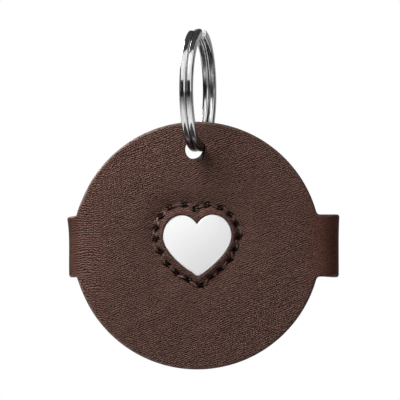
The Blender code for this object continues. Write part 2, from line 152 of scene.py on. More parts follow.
class Shader:
    """A material or the world under construction."""

    def __init__(self, owner: bpy.types.Material | bpy.types.World) -> None:
        """Empties what the nodes are for.

        Args:
            owner: The new material or world.
        """
        self.owner = owner
        owner.use_nodes = True
        self.tree = owner.node_tree
        self.tree.nodes.clear()

    @classmethod
    def material(cls, name: str) -> "Shader":
        """A new material's shader."""
        return cls(bpy.data.materials.new(name))

    def node(
        self, kind: str, settings: dict[str, object] | None = None, sockets: dict | None = None
    ) -> Callable[[str | int], Socket]:
        """Adds any node.

        Args:
            kind: The node's type, without its ShaderNode prefix.
            settings: Its own settings, set first.
            sockets: Values or links by a socket's name or number.

        Returns:
            A function from an output's name or number to its socket.
        """
        made = self.tree.nodes.new("ShaderNode" + kind)
        for name, value in (settings or {}).items():
            setattr(made, name, value)
        shown = [socket for socket in made.inputs if socket.enabled]
        for key, value in (sockets or {}).items():
            target = shown[key] if isinstance(key, int) else self.named(shown, key)
            if isinstance(value, Socket):
                self.tree.links.new(value.link, target)
            else:
                target.default_value = value

        def output(key: str | int = 0) -> Socket:
            """One of the node's outputs."""
            given = [socket for socket in made.outputs if socket.enabled]
            return Socket(self, given[key] if isinstance(key, int) else self.named(given, key))

        return output

    @staticmethod
    def named(sockets: Sequence[bpy.types.NodeSocket], name: str) -> bpy.types.NodeSocket:
        """The first of some sockets that has a name."""
        return next(socket for socket in sockets if socket.name == name)

    def pattern(self) -> Socket:
        """The place on the cut piece, in millimetres, which stays with it as it bends."""
        return self.node("Attribute", {"attribute_name": PATTERN})("Vector")

    def part(self, place: Socket, axis: str) -> Socket:
        """A place's X, Y or Z."""
        return self.node("SeparateXYZ", {}, {"Vector": place})(axis)

    def stretched(self, place: Socket, scale: Triple) -> Socket:
        """A place scaled along each axis."""
        made = self.node("VectorMath", {"operation": "MULTIPLY"}, {0: place, 1: scale})
        return made("Vector")

    def shifted(self, place: Socket, by: Socket, amount: float) -> Socket:
        """A place moved by a noise's colour.

        Args:
            place: The place.
            by: The noise's colour, about a half.
            amount: How far a whole unit of colour moves it.

        Returns:
            The moved place.
        """
        centred = self.node("VectorMath", {"operation": "SUBTRACT"}, {0: by, 1: (0.5, 0.5, 0.5)})
        grown = self.stretched(centred("Vector"), (amount, amount, amount))
        return self.node("VectorMath", {"operation": "ADD"}, {0: place, 1: grown})("Vector")

    def mixed(self, factor: Socket | float, low: object, high: object) -> Socket:
        """Two colours mixed.

        Args:
            factor: 0 for the first colour and 1 for the second.
            low: The first colour, as numbers or a socket.
            high: The second colour.

        Returns:
            The mixed colour.
        """
        sockets = {"Factor": factor, "A": self.full(low), "B": self.full(high)}
        return self.node("Mix", {"data_type": "RGBA"}, sockets)("Result")

    @staticmethod
    def full(colour: object) -> object:
        """A colour with its alpha, if it is given as three numbers."""
        return (*colour, 1.0) if isinstance(colour, tuple) and len(colour) == 3 else colour

    def bump(self, height: Socket, depth: float) -> Socket:
        """A normal bent by a height, 1 of which stands for a depth in millimetres."""
        return self.node("Bump", {}, {"Height": height, "Distance": depth * MM})("Normal")

    def surface(self, sockets: dict[str, object]) -> bpy.types.Material:
        """Ends the material with a Principled shader.

        Args:
            sockets: The values or links of the shader's sockets.

        Returns:
            The finished material.
        """
        shaded = self.node("BsdfPrincipled", {}, sockets)("BSDF")
        self.node("OutputMaterial", {}, {"Surface": shaded})
        return self.owner


@dataclass(frozen=True)
class Stretch:
    """A stretch of the strap, where it fades in and out along it, and how strong it is."""

    rise: Point
    fall: Point
    strength: float

    def mask(self, across: Socket) -> Socket:
        """The stretch's strength at a place along the strap."""
        return across.between(*self.rise) * across.between(*self.fall) * self.strength


@dataclass(frozen=True)
class Noise:
    """A noise: its humps in a millimetre, how many finer layers it has and how strong they are."""

    per_mm: float
    detail: float = 2.0
    rough: float = 0.5

    def read(self, shader: Shader, place: Socket, output: str = "Fac") -> Socket:
        """Reads the noise.

        Args:
            shader: The shader.
            place: Where.
            output: Fac for its value, from 0 to 1, or Color.

        Returns:
            What it gives there.
        """
        sockets = {"Vector": place, "Scale": self.per_mm, "Detail": self.detail, "Roughness": self.rough}
        return shader.node("TexNoise", {}, sockets)(output)


@dataclass(frozen=True)
class Ripples:
    """Fine ridges that lie across a place's Y and break up along it.

    They count per millimetre, wander that fast along and across, and sway by some ridges.
    """

    per_mm: float
    uneven: Point
    sway: float = 1.5
    wander: Noise = Noise(1.0, 1.0)

    def height(self, shader: Shader, place: Socket) -> Socket:
        """The ridges' height.

        Args:
            shader: The shader.
            place: Where.

        Returns:
            The height, from 0 to 1.
        """
        wander = self.wander.read(shader, shader.stretched(place, (*self.uneven, 1.0))) - 0.5
        turns = shader.part(place, "Y") * self.per_mm + wander * self.sway
        return (turns * math.tau).math("SINE") * 0.5 + 0.5


@dataclass(frozen=True)
class GrainLeather:
    """The dyed and finished face of the leather, with its pebbled grain and painted shade on its folds."""

    name: str = "brown_leather_grain"
    deep: Triple = (0.010, 0.0030, 0.0020)
    body: Triple = (0.058, 0.0212, 0.0140)
    pale: Triple = (0.325, 0.1850, 0.1500)
    # Painted shade: a redder, darker colour laid on the right fold, where it turns away from the light.
    fold_shade_colour: Triple = (0.066, 0.0185, 0.0100)
    ridges: Ripples = Ripples(2.5, (6.0, 2.2))
    folds: Ripples = Ripples(2.1, (2.6, 1.0))
    lean: float = 22.0
    drift: Noise = Noise(0.25, 1.0)
    drift_ridges: float = 1.0
    drift_folds: float = 1.4
    pebbles: Noise = Noise(6.5, 0.0)
    pebble_range: Point = (-0.6, 1.6)
    pebble_share: float = 0.35
    clouds: Noise = Noise(0.12, 3.0, 0.55)
    cloud_range: Point = (0.3, 0.7)
    cloud_share: float = 0.04
    # Grain tops painted paler and hollows darker: part pull-up tone of the leather, part painted highlight
    # and painted shade.
    tops: Point = (0.5, 0.7)
    top_share: float = 0.5
    hollows: Point = (0.5, 0.3)
    hollow_share: float = 0.85
    hollow_roughness: float = 0.2
    relief: float = 0.15
    roughness: float = 0.5
    gloss: float = 0.12
    wavy: Stretch = Stretch((-15.0, -22.5), (-29.0, -27.0), 0.75)
    smooth: tuple[Stretch, Stretch] = (
        Stretch((-23.2, -24.2), (-32.0, -29.0), 0.6),
        Stretch((18.5, 27.0), (34.0, 31.0), 0.75),
    )
    # Painted shade on the folds: the left one darkened towards the deep colour, the right one tinted with
    # the shade colour.
    left_fold_shade: Stretch = Stretch((-24.5, -25.3), (-31.0, -28.5), 0.5)
    right_fold_shade: Stretch = Stretch((19.0, 27.0), (36.0, 32.0), 0.9)

    def grain(self, shader: Shader, place: Socket, wavy: Socket) -> Socket:
        """The grain's height.

        Args:
            shader: The shader.
            place: Where.
            wavy: How far the leaning ridges give way to the wavy folds of the bent ear.

        Returns:
            The height, about 0 to 1.
        """
        turn = {"Vector": place, "Angle": math.radians(-self.lean)}
        turned = shader.node("VectorRotate", {"rotation_type": "Z_AXIS"}, turn)("Vector")
        drift = self.drift.read(shader, place, "Color")
        ridges = self.ridges.height(shader, shader.shifted(turned, drift, self.drift_ridges))
        folds = self.folds.height(shader, shader.shifted(place, drift, self.drift_folds))
        low, high = self.pebble_range
        pebbles = self.pebbles.read(shader, place) * (high - low) + low
        lined = ridges * (1.0 - wavy) + folds * wavy
        return lined * (1 - self.pebble_share) + pebbles * self.pebble_share

    def make(self) -> bpy.types.Material:
        """Builds the material.

        Returns:
            The material.
        """
        shader = Shader.material(self.name)
        place = shader.pattern()
        across = shader.part(place, "X")
        grain = self.grain(shader, place, self.wavy.mask(across))
        smooth = 1.0 - (self.smooth[0].mask(across) + self.smooth[1].mask(across))
        clouds = self.clouds.read(shader, place).between(*self.cloud_range)
        # Paler tops and darker hollows: part pull-up tone, part painted highlight and painted shade.
        tops = grain.between(*self.tops) * smooth
        hollows = grain.between(*self.hollows) * smooth * self.hollow_share
        # Painted shade: the right fold takes the redder, darker shade colour.
        shaded_body = shader.mixed(self.right_fold_shade.mask(across), self.body, self.fold_shade_colour)
        tone_with_painted_light = shader.mixed(tops * self.top_share + clouds * self.cloud_share, shaded_body, self.pale)
        # Painted shade: the left fold's crease darkens to the deep colour, together with the hollows.
        low = hollows.math("MAXIMUM", self.left_fold_shade.mask(across))
        return shader.surface(
            {
                "Base Color": shader.mixed(low, tone_with_painted_light, self.deep),
                "Roughness": self.roughness + hollows * self.hollow_roughness,
                "Specular IOR Level": self.gloss,
                "Normal": shader.bump(grain * smooth, self.relief),
            }
        )


@dataclass(frozen=True)
class FleshLeather:
    """The leather's rough rear face."""

    name: str = "brown_leather_flesh"
    deep: Triple = (0.052, 0.029, 0.022)
    pale: Triple = (0.135, 0.083, 0.062)
    swirl: Noise = Noise(0.9, 3.0)
    curl: float = 2.4
    fibre_run: Triple = (1.0, 3.2, 1.0)
    fibres: Noise = Noise(1.9, 4.0, 0.7)
    nap: Noise = Noise(5.0, 3.0, 0.7)
    clouds: Noise = Noise(0.22)
    shares: Triple = (0.55, 0.35, 0.3)
    tone_range: Point = (0.3, 0.9)
    relief_shares: Point = (0.6, 0.4)
    relief: float = 0.09
    roughness: float = 0.86
    nap_roughness: float = 0.12
    gloss: float = 0.2
    sheen: Point = (0.25, 0.6)

    def make(self) -> bpy.types.Material:
        """Builds the material.

        Returns:
            The material.
        """
        shader = Shader.material(self.name)
        place = shader.pattern()
        matted = shader.shifted(place, self.swirl.read(shader, place, "Color"), self.curl)
        fibres = self.fibres.read(shader, shader.stretched(matted, self.fibre_run))
        nap = self.nap.read(shader, matted)
        clouds = self.clouds.read(shader, place)
        tone = fibres * self.shares[0] + nap * self.shares[1] + clouds * self.shares[2]
        raised = fibres * self.relief_shares[0] + nap * self.relief_shares[1]
        return shader.surface(
            {
                "Base Color": shader.mixed(tone.between(*self.tone_range), self.deep, self.pale),
                "Roughness": self.roughness + nap * self.nap_roughness,
                "Specular IOR Level": self.gloss,
                "Sheen Weight": self.sheen[0],
                "Sheen Roughness": self.sheen[1],
                "Normal": shader.bump(raised, self.relief),
            }
        )


@dataclass(frozen=True)
class CutEdge:
    """The leather's cut edge, dyed and rubbed smooth, with its layers just showing."""

    name: str = "brown_leather_edge"
    deep: Triple = (0.020, 0.009, 0.0065)
    body: Triple = (0.26, 0.175, 0.145)
    layer_run: Triple = (0.9, 0.9, 9.0)
    layers: Noise = Noise(0.9, 3.0, 0.6)
    worn: Noise = Noise(1.1, 3.0, 0.6)
    shares: Point = (0.6, 0.5)
    tone_range: Point = (0.3, 0.8)
    # Painted shade: cut edges nearer the middle than this, in the holes and round the patch, take the deep
    # colour.
    near_middle_shade: Point = (21.5, 20.5)
    # Painted shade: the edge darkens from left to right, away from the light.
    right_side_shade: Point = (-12.0, 12.0)
    right_side_shade_share: float = 0.6
    relief_shares: Point = (0.7, 0.3)
    relief: float = 0.03
    roughness: float = 0.36
    worn_roughness: float = 0.25
    gloss: float = 0.25

    def make(self) -> bpy.types.Material:
        """Builds the material, with painted shade in the holes and down its right side.

        Returns:
            The material.
        """
        shader = Shader.material(self.name)
        place = shader.pattern()
        layers = self.layers.read(shader, shader.stretched(place, self.layer_run))
        worn = self.worn.read(shader, place)
        flat = shader.stretched(place, (1.0, 1.0, 0.0))
        away = shader.node("VectorMath", {"operation": "LENGTH"}, {0: flat})("Value")
        right_side_shade = shader.part(place, "X").between(*self.right_side_shade) * self.right_side_shade_share
        tone = (layers * self.shares[0] + worn * self.shares[1]).between(*self.tone_range)
        # Painted shade in the holes and down the right side.
        tone = tone * (1.0 - away.between(*self.near_middle_shade)) * (1.0 - right_side_shade)
        raised = layers * self.relief_shares[0] + worn * self.relief_shares[1]
        return shader.surface(
            {
                "Base Color": shader.mixed(tone, self.deep, self.body),
                "Roughness": self.roughness + worn * self.worn_roughness,
                "Specular IOR Level": self.gloss,
                "Normal": shader.bump(raised, self.relief),
            }
        )


@dataclass(frozen=True)
class WhiteSatin:
    """The heart's smooth white coating."""

    name: str = "white_satin"
    body: Triple = (0.83, 0.83, 0.83)
    dimmed: Triple = (0.74, 0.74, 0.74)
    dimmed_range: Point = (0.25, 0.9)
    dimmed_share: float = 0.12
    ripples: Noise = Noise(0.8)
    speckles: Noise = Noise(9.0)
    relief_shares: Point = (0.7, 0.3)
    relief: float = 0.012
    roughness: float = 0.34
    speckle_roughness: float = 0.08
    coat: Point = (0.25, 0.15)

    def make(self) -> bpy.types.Material:
        """Builds the material.

        Returns:
            The material.
        """
        shader = Shader.material(self.name)
        place = shader.pattern()
        ripple = self.ripples.read(shader, place)
        speckle = self.speckles.read(shader, place)
        dimmed = ripple.between(*self.dimmed_range) * self.dimmed_share
        raised = ripple * self.relief_shares[0] + speckle * self.relief_shares[1]
        return shader.surface(
            {
                "Base Color": shader.mixed(dimmed, self.body, self.dimmed),
                "Roughness": self.roughness + speckle * self.speckle_roughness,
                "Coat Weight": self.coat[0],
                "Coat Roughness": self.coat[1],
                "Normal": shader.bump(raised, self.relief),
            }
        )


@dataclass(frozen=True)
class WaxedThread:
    """Waxed sewing thread in the leather's colour, with painted shade where it dips into the holes."""

    name: str = "waxed_brown_thread"
    deep: Triple = (0.030, 0.0110, 0.0075)
    pale: Triple = (0.330, 0.2000, 0.1700)
    shade_in_holes: Triple = (0.014, 0.0055, 0.0038)
    dip: Point = (0.05, 0.4)
    fibre_run: Triple = (2.2, 14.0, 1.0)
    fibres: Noise = Noise(1.6, 3.0, 0.6)
    worn: Noise = Noise(0.7, 3.0, 0.6)
    shares: Point = (0.5, 0.6)
    tone_range: Point = (0.46, 0.76)
    relief: float = 0.03
    roughness: float = 0.5
    fibre_roughness: float = 0.25
    gloss: float = 0.25

    def make(self) -> bpy.types.Material:
        """Builds the material; its pattern's Z is how deep the thread lies in a hole, darkened as painted
        shade.

        Returns:
            The material.
        """
        shader = Shader.material(self.name)
        place = shader.pattern()
        fibres = self.fibres.read(shader, shader.stretched(place, self.fibre_run))
        worn = self.worn.read(shader, place)
        tone = (fibres * self.shares[0] + worn * self.shares[1]).between(*self.tone_range)
        # Painted shade: the deeper the thread lies in a hole, the darker.
        sunk = shader.part(place, "Z").between(*self.dip)
        return shader.surface(
            {
                "Base Color": shader.mixed(sunk, shader.mixed(tone, self.deep, self.pale), self.shade_in_holes),
                "Roughness": self.roughness + fibres * self.fibre_roughness,
                "Specular IOR Level": self.gloss,
                "Normal": shader.bump(fibres, self.relief),
            }
        )


@dataclass(frozen=True)
class StudNickel:
    """The press stud's nickel: bright, with faint turning lines and small scuffs."""

    name: str = "stud_nickel"
    bright: Triple = (0.66, 0.65, 0.62)
    dull: Triple = (0.44, 0.43, 0.41)
    line_run: Triple = (0.4, 7.0, 1.0)
    lines: Noise = Noise(1.0, 3.0, 0.6)
    scuffs: Noise = Noise(1.4, 4.0, 0.65)
    scuff_range: Point = (0.52, 0.75)
    line_share: float = 0.3
    scuff_share: float = 0.6
    relief: float = 0.008
    roughness: float = 0.18
    line_roughness: float = 0.2
    scuff_roughness: float = 0.1

    def make(self) -> bpy.types.Material:
        """Builds the material.

        Returns:
            The material.
        """
        shader = Shader.material(self.name)
        place = shader.pattern()
        lines = self.lines.read(shader, shader.stretched(place, self.line_run))
        scuffs = self.scuffs.read(shader, place).between(*self.scuff_range)
        worn = scuffs * self.scuff_share + lines * self.line_share
        rough = self.roughness + lines * self.line_roughness + scuffs * self.scuff_roughness
        return shader.surface(
            {
                "Base Color": shader.mixed(worn, self.bright, self.dull),
                "Metallic": 1.0,
                "Roughness": rough,
                "Normal": shader.bump(lines, self.relief),
            }
        )


@dataclass(frozen=True)
class DrawnChrome:
    """The ring's chrome: bright outside, painted shade on its inner side, with the lines of drawing, and at
    its bottom.
    """

    name: str = "ring_chrome"
    bright: Triple = (0.84, 0.84, 0.845)
    lined: Triple = (0.30, 0.30, 0.305)
    inner_bright: Triple = (0.72, 0.72, 0.725)
    # Painted shade: the dark colour of the ring's inner side.
    inner_shade: Triple = (0.10, 0.10, 0.102)
    # Painted shade low on the ring, where it passes through the leather's hole.
    low_shade: Triple = (0.10, 0.105, 0.105)
    low_shade_share: float = 0.85
    inner_side: Point = (-0.35, -0.62)
    coil_radius: float = 11.525
    low: Point = (-0.62, -0.9)
    line_run: Triple = (0.12, 3.4, 3.4)
    lines: Noise = Noise(1.0, 2.0, 0.6)
    streaks: Point = (0.42, 0.54)
    streak_share: float = 0.4
    scuffs: Noise = Noise(1.4, 4.0, 0.65)
    scuff_range: Point = (0.55, 0.75)
    scuff_share: float = 0.3
    roughness: float = 0.11
    inner_roughness: float = 0.08
    scuff_roughness: float = 0.08
    low_roughness: float = 0.15
    relief: float = 0.0003

    def make(self) -> bpy.types.Material:
        """Builds the material, whose pattern runs along the wire, outwards and across it.

        Returns:
            The material.
        """
        shader = Shader.material(self.name)
        place = shader.pattern()
        inner = shader.part(place, "Y").between(*self.inner_side)
        # Painted shade: the bottom of the ring, inside the leather's hole.
        low = (shader.part(place, "X") / self.coil_radius).math("COSINE").between(*self.low)
        lines = self.lines.read(shader, shader.stretched(place, self.line_run))
        scuffs = self.scuffs.read(shader, place).between(*self.scuff_range)
        streaks = lines.between(*self.streaks)
        worn = streaks * self.streak_share + scuffs * self.scuff_share
        outside = shader.mixed(worn, self.bright, self.lined)
        # Painted shade: the inner side is a dark copy of the chrome, lighter only along its streaks.
        inside = shader.mixed(streaks, self.inner_shade, self.inner_bright)
        turned = shader.mixed(inner, outside, inside)
        rough = self.roughness + inner * self.inner_roughness + scuffs * self.scuff_roughness
        return shader.surface(
            {
                "Base Color": shader.mixed(low * self.low_shade_share, turned, self.low_shade),
                "Metallic": 1.0,
                "Roughness": rough + low * self.low_roughness,
                "Normal": shader.bump(lines, self.relief),
            }
        )


class Finish(Enum):
    """The finishes on the holder, by the material slot of the record that each belongs to."""

    GRAIN = ("brown_leather", GrainLeather())
    FLESH = ("brown_leather", FleshLeather())
    EDGE = ("brown_leather", CutEdge())
    INLAY = ("white_inlay", WhiteSatin())
    THREAD = ("brown_thread", WaxedThread())
    CHROME = ("ring_steel", DrawnChrome())
    NICKEL = ("snap_nickel", StudNickel())

    @property
    def slot(self) -> str:
        """The record's slot."""
        return self.value[0]

    def material(self) -> bpy.types.Material:
        """The material, made when it is first asked for."""
        return bpy.data.materials.get(self.value[1].name) or self.value[1].make()


def arc(centre: Point, radius: float, start: float, end: float, steps: int) -> Loop:
    """Points along an arc.

    Args:
        centre: Its centre.
        radius: Its radius.
        start: The first angle, in degrees.
        end: The last angle, in degrees.
        steps: How many steps it takes.

    Returns:
        The points, with both ends.
    """
    turns = [math.radians(start + (end - start) * step / steps) for step in range(steps + 1)]
    return [(centre[0] + radius * math.cos(t), centre[1] + radius * math.sin(t)) for t in turns]


def circle(centre: Point, radius: float, steps: int) -> Loop:
    """Points round a circle."""
    return arc(centre, radius, 0, 360, steps)[:-1]


def divided(loop: Loop, step: float) -> Loop:
    """A closed outline with its longer edges divided.

    Args:
        loop: The outline.
        step: The longest edge allowed.

    Returns:
        The outline with more points.
    """
    made = []
    for here, after in zip(loop, loop[1:] + loop[:1]):
        parts = max(1, math.ceil(math.dist(here, after) / step))
        for part in range(parts):
            share = part / parts
            made.append((here[0] + (after[0] - here[0]) * share, here[1] + (after[1] - here[1]) * share))
    return made


def distances(places: np.ndarray, loop: Loop) -> np.ndarray:
    """How far places are from a closed outline.

    Args:
        places: An array of places, two numbers each.
        loop: The outline.

    Returns:
        The distance of each place, never negative.
    """
    starts = np.array(loop)
    runs = np.roll(starts, -1, axis=0) - starts
    lengths = np.maximum((runs**2).sum(axis=1), 1e-12)
    made = np.empty(len(places))
    for low in range(0, len(places), AT_ONCE):
        gaps = places[low : low + AT_ONCE, None, :] - starts[None]
        along = np.clip((gaps * runs).sum(axis=2) / lengths, 0, 1)
        gaps = gaps - along[..., None] * runs
        made[low : low + AT_ONCE] = np.sqrt((gaps**2).sum(axis=2).min(axis=1))
    return made


def inside(places: np.ndarray, loop: Loop) -> np.ndarray:
    """Which places lie inside a closed outline.

    Args:
        places: An array of places, two numbers each.
        loop: The outline.

    Returns:
        A true or false for each place.
    """
    found = np.zeros(len(places), bool)
    for (ax, ay), (bx, by) in zip(loop, loop[1:] + loop[:1]):
        if ay == by:
            continue
        crosses = (ay > places[:, 1]) != (by > places[:, 1])
        at = ax + (places[:, 1] - ay) * (bx - ax) / (by - ay)
        found ^= crosses & (places[:, 0] < at)
    return found


def grown(loop: Loop, reach: float) -> Loop:
    """An outline moved outwards, trimmed where it would cross itself.

    Args:
        loop: The outline, counter-clockwise.
        reach: How far it moves. Less than 0 moves it inwards.

    Returns:
        The moved outline.
    """
    if not reach:
        return loop
    made = []
    for before, here, after in zip(loop[-1:] + loop[:-1], loop, loop[1:] + loop[:1]):
        first = math.atan2(before[0] - here[0], here[1] - before[1])
        turn = math.atan2(here[0] - after[0], after[1] - here[1]) - first
        turn = (turn + math.pi) % math.tau - math.pi
        steps = max(1, round(abs(turn) / CORNER_STEP)) if turn * reach > 0 else 1
        for step in range(steps + 1 if steps > 1 else 1):
            angle = first + turn * (step / steps if steps > 1 else 0.5)
            made.append((here[0] + reach * math.cos(angle), here[1] + reach * math.sin(angle)))
    clear = distances(np.array(made), loop) > abs(reach) - TRIM
    return [point for point, kept in zip(made, clear) if kept]


def curved(knots: Sequence[Point], values: np.ndarray) -> np.ndarray:
    """A smooth curve through knots, flat beyond its ends.

    Args:
        knots: Each knot's place and height.
        values: The places to read it at.

    Returns:
        The heights.
    """
    places, heights = np.array(knots).T
    slopes = np.gradient(heights, places)
    slopes[0] = slopes[-1] = 0.0
    at = np.clip(values, places[0], places[-1])
    spot = np.clip(np.searchsorted(places, at, side="right") - 1, 0, len(places) - 2)
    width = places[spot + 1] - places[spot]
    t = (at - places[spot]) / width
    rise = heights[spot + 1] - heights[spot]
    cubic = heights[spot] + rise * t * t * (3 - 2 * t)
    return cubic + width * (slopes[spot] * t * (1 - t) ** 2 - slopes[spot + 1] * t * t * (1 - t))


def through(points: Sequence[Sequence[float]], parts: int, closed: bool = True) -> np.ndarray:
    """A smooth line through points.

    Args:
        points: The points.
        parts: How many parts each stretch is divided into.
        closed: Whether the line runs back to its first point.

    Returns:
        The line's points.
    """
    given = np.array(points, float)
    count = len(given)
    made = []
    for index in range(count if closed else count - 1):
        around = [index - 1, index, index + 1, index + 2]
        a, b, c, d = (given[i % count if closed else min(max(i, 0), count - 1)] for i in around)
        for t in np.arange(parts) / parts:
            bend = (2 * a - 5 * b + 4 * c - d) * t**2 + (3 * b - a - 3 * c + d) * t**3
            made.append(0.5 * (2 * b + (c - a) * t + bend))
    if not closed:
        made.append(given[-1])
    return np.array(made)


def dotted(low: Point, high: Point, step: float) -> np.ndarray:
    """Places in staggered rows.

    Args:
        low: The lowest corner.
        high: The highest corner.
        step: How far they are apart.

    Returns:
        The places.
    """
    rows = np.arange(low[1], high[1], step * math.sqrt(3) / 2)
    made = []
    for index, row in enumerate(rows):
        along = np.arange(low[0] + (index % 2) * step / 2, high[0], step)
        made.append(np.stack([along, np.full(len(along), row)], axis=1))
    return np.concatenate(made)


@dataclass(frozen=True)
class HeartShape:
    """The heart's outline: two elliptic lobes over sides that curve in to the tip."""

    half_width: float = 6.97
    widest: float = 1.9
    tip: float = -6.35
    lobe_share: float = 0.545
    lobe_height: float = 4.3
    side_power: float = 1.8
    lean: float = 1.3
    shift: float = 0.1
    lobe_steps: int = 30
    side_steps: int = 30

    def outline(self) -> Loop:
        """The outline, counter-clockwise from the notch.

        Returns:
            Its points.
        """
        lobe = self.half_width * self.lobe_share
        lobe_x = self.half_width - lobe
        notch = math.acos(-lobe_x / lobe)
        right = []
        for step in range(self.lobe_steps + 1):
            angle = notch * (1 - step / self.lobe_steps)
            x = max(lobe_x + lobe * math.cos(angle), 0.0)
            right.append((x, self.widest + self.lobe_height * math.sin(angle)))
        for step in range(1, self.side_steps + 1):
            down = step / self.side_steps
            side = self.half_width * (1 - down**self.side_power)
            right.append((max(side, 0.0), self.widest - (self.widest - self.tip) * down))
        upright = [right[0]] + [(-x, z) for x, z in right[1:]] + right[-2:0:-1]
        cos, sin = math.cos(math.radians(self.lean)), math.sin(math.radians(self.lean))
        return [(x * cos - z * sin + self.shift, x * sin + z * cos) for x, z in upright]


@dataclass(frozen=True)
class Seam:
    """The heart-shaped row of slanted stitch holes, as measured: place and slant of each."""

    holes: tuple[Triple, ...] = (
        (-0.2, 7.4, 28), (-2.5, 8.2, 8), (-5.4, 7.6, 22), (-7.4, 5.8, 28), (-8.3, 3.4, 42),
        (-8.35, 1.2, 58), (-7.45, -1.3, -32), (-6.0, -3.8, -32), (-4.2, -5.55, -50), (-1.8, -6.9, -42),
        (0.7, -8.0, 6), (2.8, -6.3, 30), (4.6, -4.8, 28), (6.6, -2.9, 30), (7.5, -0.8, 38),
        (8.4, 1.7, 44), (7.9, 4.3, -54), (6.7, 6.2, -28), (4.8, 7.6, -8), (2.1, 8.2, 18),
    )
    length: float = 1.75
    width: float = 1.0
    line_parts: int = 6
    end_steps: int = 6

    def line(self) -> Loop:
        """The seam's own line, smoothed through its holes.

        Returns:
            Its points.
        """
        line = through([hole[:2] for hole in self.holes], self.line_parts)
        return [tuple(point) for point in line]

    def slit(self, hole: Triple, share: float = 1.0) -> Loop:
        """One hole's outline.

        Args:
            hole: Its place and slant.
            share: Its size, as a share of the holes' full size.

        Returns:
            The outline, counter-clockwise.
        """
        half, radius = (self.length - self.width) * share / 2, self.width * share / 2
        ends = arc((half, 0), radius, -90, 90, self.end_steps)
        ends += arc((-half, 0), radius, 90, 270, self.end_steps)
        cos, sin = math.cos(math.radians(hole[2])), math.sin(math.radians(hole[2]))
        return [(hole[0] + x * cos - z * sin, hole[1] + x * sin + z * cos) for x, z in ends]


@dataclass(frozen=True)
class Border:
    """A cut edge of a sheet, with how far each face is rounded over to it."""

    loop: Loop
    face: float
    rear: float
    hole: bool = True
    row_shares: tuple[float, ...] = (0.134, 0.5, 1.0, 1.5)

    def rows(self) -> list[Loop]:
        """The outline and the rows of points that carry its rounding.

        Returns:
            The rows, from the edge inwards.
        """
        inward = 1 if self.hole else -1
        return [self.loop] + [grown(self.loop, inward * share * self.face) for share in self.row_shares]


